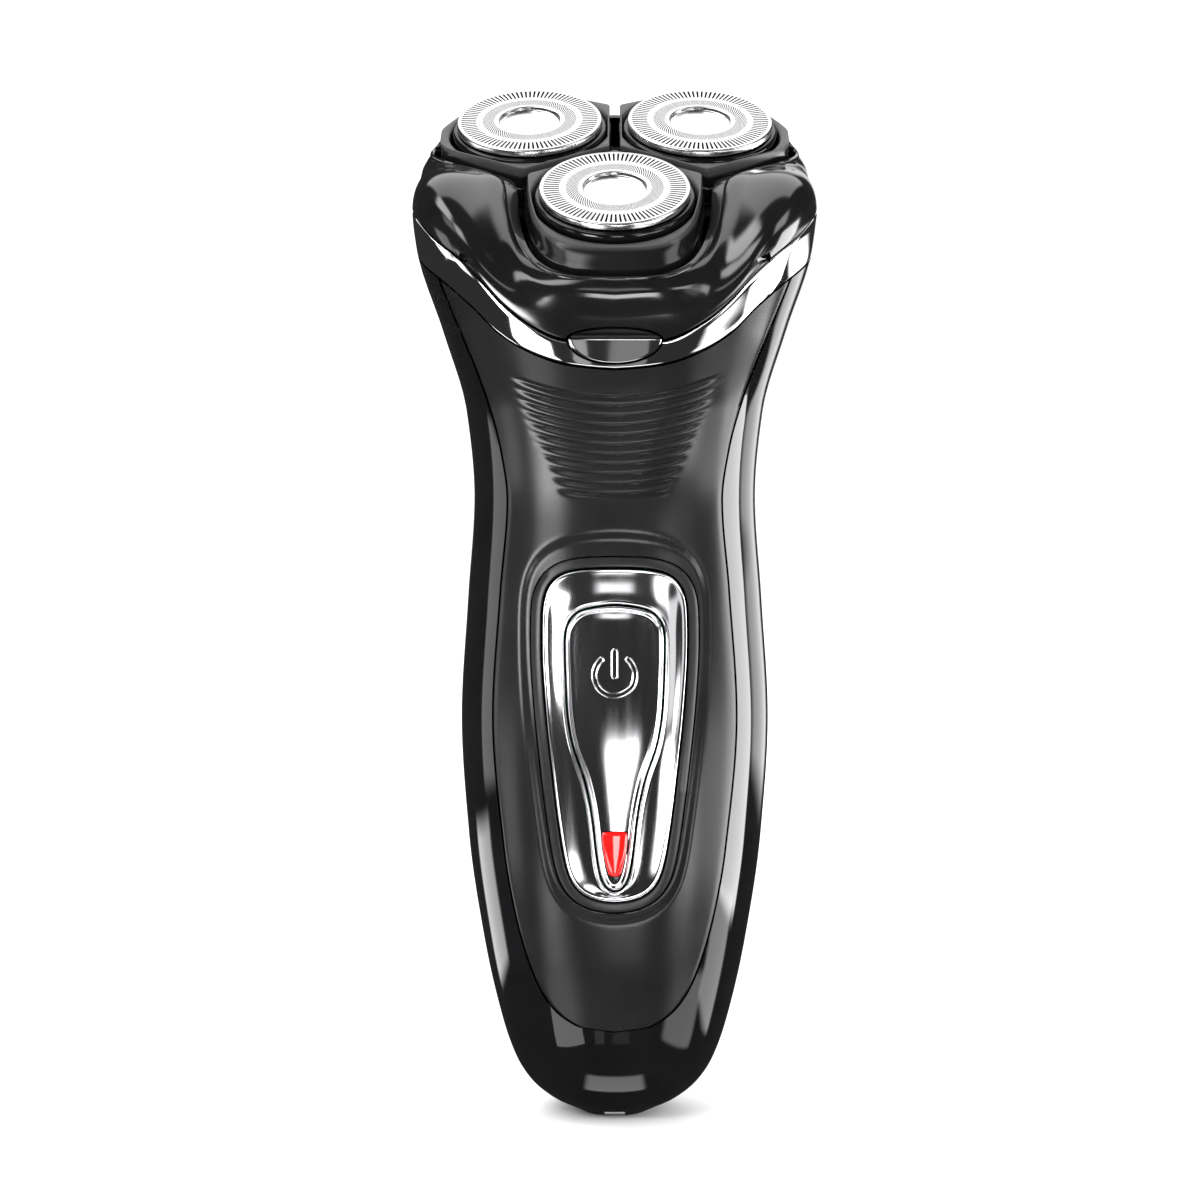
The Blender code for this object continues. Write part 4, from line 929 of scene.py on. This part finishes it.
def collar_curves(inset, samples=120):
    """Curves of the collar from the band to the rim, one for each angle: (samples, angles, 3)."""
    z = edge_height(BAND_TOP, ANGLES) + GAP
    start, above = body_point(ANGLES, z, inset), body_point(ANGLES, z + 2, inset)
    rim = rim_point(ANGLES, inset * 0.35, inset * 0.15)
    up = (above - start) / np.linalg.norm(above - start, axis=1)[:, None]
    control = start + up * np.linalg.norm(rim - start, axis=1)[:, None] * 0.6
    t = np.linspace(0, 1, samples)[:, None, None]
    return start * (1 - t) ** 2 + control * 2 * t * (1 - t) + rim * t ** 2


# Distance from the rim, and how far the surface stands out there: a fine lip, a chamfer and a rolled band.
COLLAR_EDGE = ((0.0, -0.3), (0.08, -0.18), (0.2, -0.12), (0.32, -0.14), (0.4, -0.26), (0.5, -0.3),
               (0.62, -0.24), (1.0, -0.1), (1.6, 0.07), (2.1, 0.19), (2.45, 0.25), (2.75, 0.27), (3.3, 0.24),
               (4.2, 0.14), (5.2, 0.04), (6.0, 0.0))


def evened(rows, reach=5, rounds=3):
    """Rows of vectors averaged with their neighbours round the loop, and made unit length again."""
    for _ in range(rounds):
        rows = sum(np.roll(rows, k, axis=1) for k in range(-reach, reach + 1))
        rows = rows / np.maximum(np.linalg.norm(rows, axis=2), 1e-9)[..., None]
    return rows


def collar_surface():
    """Rows of the collar's outer side from its rim down to the band, raised or sunk along the rim."""
    curves = collar_curves(0.0)
    steps = np.linalg.norm(np.diff(curves, axis=0), axis=2)
    run = np.vstack((np.zeros(ROUND), np.cumsum(steps, axis=0)))
    total = run[-1]
    shares = np.linspace(0, 1, 26)[1:]
    first = COLLAR_EDGE[-1][0]
    from_rim = [np.full(ROUND, d) for d, _ in COLLAR_EDGE]
    from_rim += [first + (total - 0.35 - first) * share for share in shares]
    from_rim += [total - 0.15, total]
    lifts = [lift for _, lift in COLLAR_EDGE] + [0.0] * len(shares) + [-0.03, -0.22]
    grid = np.zeros((len(lifts), ROUND, 3))
    for i in range(ROUND):
        at = total[i] - np.array([d[i] for d in from_rim])
        for axis in range(3):
            grid[:, i, axis] = np.interp(at, run[:, i], curves[:, i, axis])
    across = np.roll(grid, -1, axis=1) - np.roll(grid, 1, axis=1)
    normal = np.cross(across, np.gradient(grid, axis=0))
    normal /= np.maximum(np.linalg.norm(normal, axis=2), 1e-9)[..., None]
    outwards = np.sign((normal[-8] * grid[-8] * (1, 1, 0)).sum())
    return grid + evened(normal) * outwards * np.array(lifts)[:, None, None]


def cut_finger_notches(collar):
    """Small notches in the collar's lower edge, one on each side of the release button."""
    for side in (-1, 1):
        angle = side * NOTCH_ANGLE
        x, y, z = body_point(angle, float(edge_height(BAND_TOP, angle)) + 1.2)
        lean = Matrix.Translation((x, y, z)) @ Matrix.Rotation(math.radians(side * 42), 4, 'Z')
        lean = lean @ Matrix.Rotation(math.radians(-side * 30), 4, 'Y')
        carve(collar, boxed((-1.1, -1.5, -0.45), (1.1, 0.9, 0.6), lean))


def make_collar():
    """Head housing: a collar with a fine lip and a rolled band along its rim."""
    loops = [*collar_surface(), *collar_curves(WALL, 9)]
    collar = raw("head_housing_fine", *skin(loops, ring=True))
    carve(collar, release_opening())
    carve(collar, boxed((-HINGE_HALF - GAP, 22, 140), (HINGE_HALF + GAP, 40, HINGE_Z + 2.1)))
    cut_finger_notches(collar)
    dress(collar, "head", "collar_gloss", "head_gloss_black", "head_housing", sharp=40)


# ---------------------------------------------------------------- units

def petal_outline(azimuth, half, reach, seam, count=180):
    """Outline of one holder in its own frame, seen from its axis: rays cut the lobe and the two seams."""
    a = turns(count)
    low, high = np.zeros(count), np.full(count, 40.0)
    for _ in range(40):
        r = (low + high) / 2
        x, v = r * np.sin(a), UNIT_RADIUS + r * np.cos(a)
        wedge = np.abs(x) * 0.5 <= v * math.sin(math.radians(60)) - seam
        lobe = (np.abs(x) / half) ** TONGUE_ROUND + (np.abs(v) / reach) ** TONGUE_ROUND < 1
        across = v * math.sin(math.radians(azimuth)) + x * math.cos(math.radians(azimuth))
        inside = (v > 0) & wedge & lobe & (np.abs(across) < SHOULDER - PETAL_GAP_END - TILT_ROOM)
        low, high = np.where(inside, r, low), np.where(inside, high, r)
    return ring_points(low, a)[:, :2]


def petal_top(y):
    """Height of a holder's top in its own frame: it falls away from the middle of the head."""
    return PETAL_TOP - PETAL_FALL * smooth_step((UNIT_RADIUS - y - FALL_START) / FALL_RUN)


def make_petal(name, azimuth):
    """Tilting holder: flat top with a fine bevel, stepped skirt and a rolled seat round the guard's ring."""
    reach = lobe_reach(azimuth) - PETAL_GAP_END - TILT_ROOM
    half = TONGUE_HALF - PETAL_GAP - TILT_ROOM
    chin = 2.9 if azimuth == 0 else 1.3
    skirt = petal_outline(azimuth, half, reach, PETAL_SEAM)
    top = petal_outline(azimuth, half - 0.5, reach - chin, PETAL_TOP_SEAM)
    edge = petal_top(top[:, 1])
    rows = [(skirt, PETAL_LOW), (skirt, -5.0), (skirt * 0.996, -4.72), (skirt * 0.986, -4.6)]
    for share in (0.2, 0.4, 0.6, 0.8):
        height = -4.6 * (1 - share) + (edge - 0.24) * share + 0.2 * math.sin(share * math.pi)
        rows.append((skirt * 0.986 * (1 - share) + top * share, height))
    rows += [(top, edge - 0.24), (top * 0.994, edge - 0.06), (top * 0.982, edge)]
    within = np.hypot(*top.T) * 0.982
    seat = ((13.3, 0.03, 0.0), (13.0, 0.06, 0.07), (12.75, 0.09, 0.28), (12.6, 0.11, 0.6))
    for radius, inside, sink in seat:
        flat = ring_points(np.minimum(radius, within - inside), turns(len(top)))[:, :2]
        rows.append((flat, petal_top(flat[:, 1]) - sink))
    rows.append((rows[-1][0], PETAL_LOW))
    place = head_matrix(azimuth, UNIT_RADIUS, UNIT_CANT)
    loops = [placed(place, np.column_stack((flat, np.broadcast_to(w, len(flat))))) for flat, w in rows]
    petal = raw(f"petal_{name}_fine", *skin(loops, ring=True))
    dress(petal, f"petal_{name}", f"holder_{name}", "holder_black", f"petal_{name}", sharp=28)


def slotted_plate(place):
    """Flat guard plate with its two rings of open slots, as a closed mesh."""
    def turn_at(radius):
        share = min(1.0, max(0.0, (radius - INNER_SLOTS[0]) / (INNER_SLOTS[1] - INNER_SLOTS[0])))
        return SLOT_LEAN * share

    columns = 2 * SLOT_COUNT
    pitch = 2 * math.pi / SLOT_COUNT
    verts, faces = [], []
    for w in (0.0, -PLATE_THICK):
        for radius in GUARD_RINGS:
            for j in range(columns):
                a = (j // 2 + (SLOT_SHARE if j % 2 else 0.0)) * pitch + turn_at(radius)
                verts.append((radius * math.sin(a), -radius * math.cos(a), w))
    rings = len(GUARD_RINGS)

    def index(side, i, j):
        return side * rings * columns + i * columns + j % columns

    def solid(i, j):
        if not 0 <= i < rings - 1:
            return False
        middle = (GUARD_RINGS[i] + GUARD_RINGS[i + 1]) / 2
        slotted = any(low < middle < high for low, high in (INNER_SLOTS, OUTER_SLOTS))
        return not (slotted and j % 2 == 0)

    for i in range(rings - 1):
        for j in range(columns):
            if not solid(i, j):
                continue
            faces.append(tuple(index(0, *c) for c in ((i, j), (i, j + 1), (i + 1, j + 1), (i + 1, j))))
            faces.append(tuple(index(1, *c) for c in ((i + 1, j), (i + 1, j + 1), (i, j + 1), (i, j))))
            walls = (((i - 1, j), (i, j), (i, j + 1)), ((i + 1, j), (i + 1, j + 1), (i + 1, j)),
                     ((i, j - 1), (i + 1, j), (i, j)), ((i, j + 1), (i, j + 1), (i + 1, j + 1)))
            for (ni, nj), p, q in walls:
                if not solid(ni, nj % columns):
                    faces.append((index(0, *p), index(0, *q), index(1, *q), index(1, *p)))
    return placed(place, verts), faces


def make_guard(name, azimuth):
    """Shaving guard: slotted plate, rolled rim with its skirt, and the dished middle."""
    place = head_matrix(azimuth, UNIT_RADIUS, UNIT_CANT)
    rim = ((11.0, -0.04), (11.1, 0.02), (11.25, 0.0), (11.4, -0.1), (11.5, -0.3), (11.5, -0.95),
           (10.6, -0.95), (10.6, -3.6), (10.3, -3.6), (10.3, -0.45), (11.0, -0.38))
    dish = [(0.02, -0.4), (1.2, -0.41), (2.4, -0.44), (3.4, -0.5), (4.1, -0.56), (4.5, -0.58), (4.66, -0.54),
            (4.76, -0.42), (4.82, -0.14), (4.9, -0.03), (5.05, 0.01), (5.3, 0.0), (5.3, -0.42), (5.2, -0.6),
            (5.0, -1.0), (4.6, -1.1), (0.02, -1.0)]
    parts = joined(slotted_plate(place), turned(place, rim, 180, ring=True), turned(place, dish))
    guard = raw(f"guard_{name}_fine", *parts)
    dress(guard, f"guard_{name}", f"guard_{name}", "blade_steel", f"guard_{name}", sharp=40)
    ring = ((11.0, -1.3), (11.55, -1.28), (11.85, -1.35), (12.05, -1.5), (12.18, -1.75), (12.2, -2.1),
            (12.2, -5.0), (10.9, -5.0), (10.9, -1.5))
    gloss = raw(f"guard_ring_{name}_fine", *turned(place, ring, 144, ring=True))
    dress(gloss, f"guard_{name}", "ring_gloss", "ring_gloss_black", f"guard_ring_{name}")


# ---------------------------------------------------------------- trimmer

def make_trimmer_flap():
    """Trimmer flap with grip lines, on the back."""
    outline = rounded_box(TRIMMER_HALF, TRIMMER_LOW, TRIMMER_TOP - 4.0)
    edge = ((0.0, -3.4), (0.0, -0.5), (0.12, -0.22), (0.35, -0.1), (0.8, -0.08))
    flap = raw("trimmer_flap_fine", *inlay(outline, edge, side=1))
    for k in range(5):
        z = TRIMMER_LOW + 4.0 + 1.8 * k
        y = float(surface_y(0.0, z, 1))
        carve(flap, prism(rounded_box(6.5, z - 0.35, z + 0.35, 3.0, 40), y - 0.55, y + 2))
    dress(flap, "trimmer", "collar_gloss", "handle_gloss_black", "trimmer_flap")


def make_trimmer_slider():
    """Trimmer's slider with ridges, and the stem that holds it in the back shell's slot."""
    low, high = (np.array(corner) / MM + (0, MIDDLE_Y, 0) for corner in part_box("trimmer_slider"))
    plate = rounded_box(high[0], low[2], high[2], 4.0, 80)
    front = float(surface_y(0.0, 73.5, 1)) + 0.5
    rows = ((plate, front), (plate, high[1] - 0.35), (offset(plate, -0.12), high[1] - 0.1),
            (offset(plate, -0.35), high[1] - 0.05))
    loops = [np.stack((flat[:, 0], np.full(80, y), flat[:, 1]), axis=-1) for flat, y in rows]
    slider = raw("trimmer_slider_fine", *skin(loops))
    for k in range(6):
        z = low[2] + 1.5 + k
        carve(slider, boxed((-3.6, high[1] - 0.4, z - 0.2), (3.6, high[1] + 1, z + 0.2)))
    carve(slider, boxed((-1.3, low[1], 73.0), (1.3, front + 0.4, 76.2)), 'UNION')
    dress(slider, "trimmer_slider", "collar_gloss", "handle_gloss_black", "trimmer_slider")


# ---------------------------------------------------------------- carried-over parts

CARRIED = {
    "inner_black": ("trimmer_tray", "chassis", "charging_socket", "switch_base", "deck_plate"),
    "grey_plastic": ("switch_plunger", "gear_plate", "hinge_barrel", "hinge_lug_left", "hinge_lug_right",
                     "head_frame", "retaining_plate", "lock_knob",
                     *(f"drive_spindle_{name}" for name, _ in UNITS)),
    "gear_plastic": tuple(f"drive_gear_{name}" for name, _ in UNITS),
    "seal_rubber": ("chamber_seal",),
    "blade_steel": (*(f"cutter_{name}" for name, _ in UNITS), "trimmer_comb", "trimmer_blade"),
    "bright_steel": ("battery_tab_top", "battery_tab_bottom", "deck_screw_1", "deck_screw_2", "deck_screw_3",
                     "hinge_pin", "motor_shaft"),
    "motor_steel": ("motor",),
    "contact_brass": ("socket_pin", "motor_pinion"),
    "battery_wrap": ("battery",),
    "board_green": ("circuit_board",),
    "lens_red": ("indicator_led",),
}


def dress_carried():
    """Detailed materials on every CAD node that stays in view."""
    for look, nodes in CARRIED.items():
        for node in nodes:
            materials = frame["nodes"][node].data.materials
            materials.clear()
            materials.append(LOOKS[look])


# ---------------------------------------------------------------- floor, light and camera

def make_floor():
    """Plain pale floor. The gloss doesn't mirror it, so the low softboxes show there instead."""
    mesh = bmesh.new()
    bmesh.ops.create_circle(mesh, cap_ends=True, segments=96, radius=3.0)
    data = bpy.data.meshes.new("floor")
    mesh.to_mesh(data)
    mesh.free()
    floor = bpy.data.objects.new("floor", data)
    bpy.context.scene.collection.objects.link(floor)
    floor.location.z = -0.0002
    n = Nodes("floor_pale")
    n.colour(n.blend(n.spread(n.noise(3.0), 0.0, 1.0), (0.90, 0.90, 0.90), (0.92, 0.92, 0.92)))
    n.shader.inputs["Roughness"].default_value = 0.9
    n.shader.inputs["Specular IOR Level"].default_value = 0.1
    data.materials.append(n.material)
    floor.visible_glossy = False


# Softboxes: name, azimuth, elevation, distance, width, height, radiance, share of the edge that fades.
SOFTBOXES = (
    ("top", 180, 62, 1.0, 1.3, 1.0, 1.5, 0.2),
    ("right_side", 93, -6, 0.9, 0.60, 0.62, 8.0, 0.12),
    ("right_front", 64, -14, 1.0, 0.60, 0.40, 3.6, 0.35),
    ("right_shoulder", 40, -19, 1.0, 0.40, 0.30, 8.0, 0.6),
    ("right_low", 57, -40, 0.9, 0.56, 0.26, 1.7, 0.3),
    ("right_mid", 90, -30, 0.9, 0.50, 0.26, 3.0, 0.3),
    ("right_back", 134, -5, 0.9, 0.80, 0.28, 2.4, 0.4),
    ("back", 172, 16, 1.0, 0.34, 0.80, 1.1, 0.6),
    ("right_high", 62, 34, 1.0, 0.60, 0.45, 2.6, 0.5),
    ("left_side", -93, -4, 0.9, 0.40, 0.34, 1.6, 0.2),
    ("left_front", -70, -14, 1.0, 0.44, 0.34, 2.2, 0.5),
    ("left_neck", -36, -25, 1.0, 0.36, 0.22, 5.0, 0.6),
    ("left_neck_near", -34, 0, 0.115, 0.050, 0.044, 12.0, 0.5),
    ("left_low", -36, -41, 0.9, 0.36, 0.24, 2.0, 0.05),
    ("left_foot", -110, -31, 0.175, 0.09, 0.06, 4.0, 0.3),
    ("left_high", -60, 34, 1.0, 0.50, 0.30, 1.2, 0.5),
    ("shoulder_front", -27, 40, 1.0, 0.60, 0.46, 4.0, 0.6),
    ("shoulder_top", -72, 54, 1.0, 0.70, 0.46, 4.5, 0.5),
    ("shoulder_side", 26, 12, 1.0, 0.26, 0.34, 3.5, 0.6),
    ("front_low", 4, -18, 1.0, 0.34, 0.34, 7.0, 0.4),
    ("front_spot", 0, 12, 1.0, 0.30, 0.15, 1.4, 0.5),
    ("front_right_strip", 38, -1, 1.0, 0.36, 0.30, 0.9, 0.2),
    ("button_left", -8, -43, 1.0, 0.075, 0.16, 0.35, 0.0),
    ("button_right", 3.3, -43, 1.0, 0.10, 0.16, 0.2, 0.0),
    ("below", 0, -75, 1.0, 0.50, 0.40, 2.0, 0.3),
)


def fade_edges(tree, soft):
    """Dims a light towards its edges, over the given share of its half width and half height."""
    place = tree.nodes.new("ShaderNodeNewGeometry").outputs["Parametric"]
    split = tree.nodes.new("ShaderNodeSeparateXYZ")
    tree.links.new(place, split.inputs["Vector"])
    product = tree.nodes.new("ShaderNodeMath")
    product.operation = 'MULTIPLY'
    for i, axis in enumerate(("X", "Y")):
        edge = tree.nodes.new("ShaderNodeMath")
        edge.operation = 'PINGPONG'
        edge.inputs[1].default_value = 0.5
        tree.links.new(split.outputs[axis], edge.inputs[0])
        ramp = tree.nodes.new("ShaderNodeMapRange")
        ramp.interpolation_type = 'SMOOTHSTEP'
        ramp.inputs["From Max"].default_value = soft * 0.5
        tree.links.new(edge.outputs[0], ramp.inputs["Value"])
        tree.links.new(ramp.outputs["Result"], product.inputs[i])
    tree.links.new(product.outputs[0], tree.nodes["Emission"].inputs["Strength"])


def softbox(name, azimuth, elevation, distance, wide, tall, radiance, soft):
    """Rectangular area light aimed at the shaver."""
    light = bpy.data.lights.new(name, 'AREA')
    light.shape = 'RECTANGLE'
    light.size, light.size_y = wide, tall
    light.energy = radiance * math.pi * wide * tall
    light.use_nodes = True
    if soft:
        fade_edges(light.node_tree, soft)
    obj = bpy.data.objects.new(name, light)
    bpy.context.scene.collection.objects.link(obj)
    a, e = math.radians(azimuth), math.radians(elevation)
    way = Vector((math.sin(a) * math.cos(e), -math.cos(a) * math.cos(e), math.sin(e)))
    obj.location = LIGHT_CENTRE + way * distance
    obj.rotation_mode = 'QUATERNION'
    obj.rotation_quaternion = way.to_track_quat('Z', 'Y')
    obj.visible_camera = False


def make_room():
    """Pale room that lights matt surfaces evenly, and that glossy ones see as nearly dark."""
    world = bpy.data.worlds.new("studio")
    bpy.context.scene.world = world
    world.use_nodes = True
    tree = world.node_tree
    background = tree.nodes["Background"]
    background.inputs["Color"].default_value = (1, 1, 1, 1)
    rays = tree.nodes.new("ShaderNodeLightPath")
    ramp = tree.nodes.new("ShaderNodeMapRange")
    ramp.inputs["To Min"].default_value = ROOM_MATT
    ramp.inputs["To Max"].default_value = ROOM_GLOSS
    tree.links.new(rays.outputs["Is Glossy Ray"], ramp.inputs["Value"])
    tree.links.new(ramp.outputs["Result"], background.inputs["Strength"])


def make_camera():
    """Camera straight in front, a little above the horizontal."""
    back = Vector((0, -math.cos(CAMERA_ELEVATION), math.sin(CAMERA_ELEVATION)))
    data = bpy.data.cameras.new("camera")
    data.sensor_width = CAMERA_SENSOR
    data.lens = CAMERA_LENS
    data.shift_x = CAMERA_SHIFT
    camera = bpy.data.objects.new("camera", data)
    bpy.context.scene.collection.objects.link(camera)
    camera.location = Vector((0, -MIDDLE_Y * MM, CAMERA_HEIGHT)) + back * CAMERA_DISTANCE
    camera.rotation_euler = (math.pi / 2 - CAMERA_ELEVATION, 0, 0)
    bpy.context.scene.camera = camera


make_front_shell()
make_back_shell()
make_case_screws()
make_band()
make_release()
make_switch_bezel()
make_switch_panel()
make_power_button()
make_power_symbol()
make_collar()
for unit, turn in UNITS:
    make_petal(unit, turn)
    make_guard(unit, turn)
make_trimmer_flap()
make_trimmer_slider()
dress_carried()
make_floor()
for box in SOFTBOXES:
    softbox(*box)
make_room()
make_camera()
bpy.context.scene.view_settings.view_transform = 'Standard'
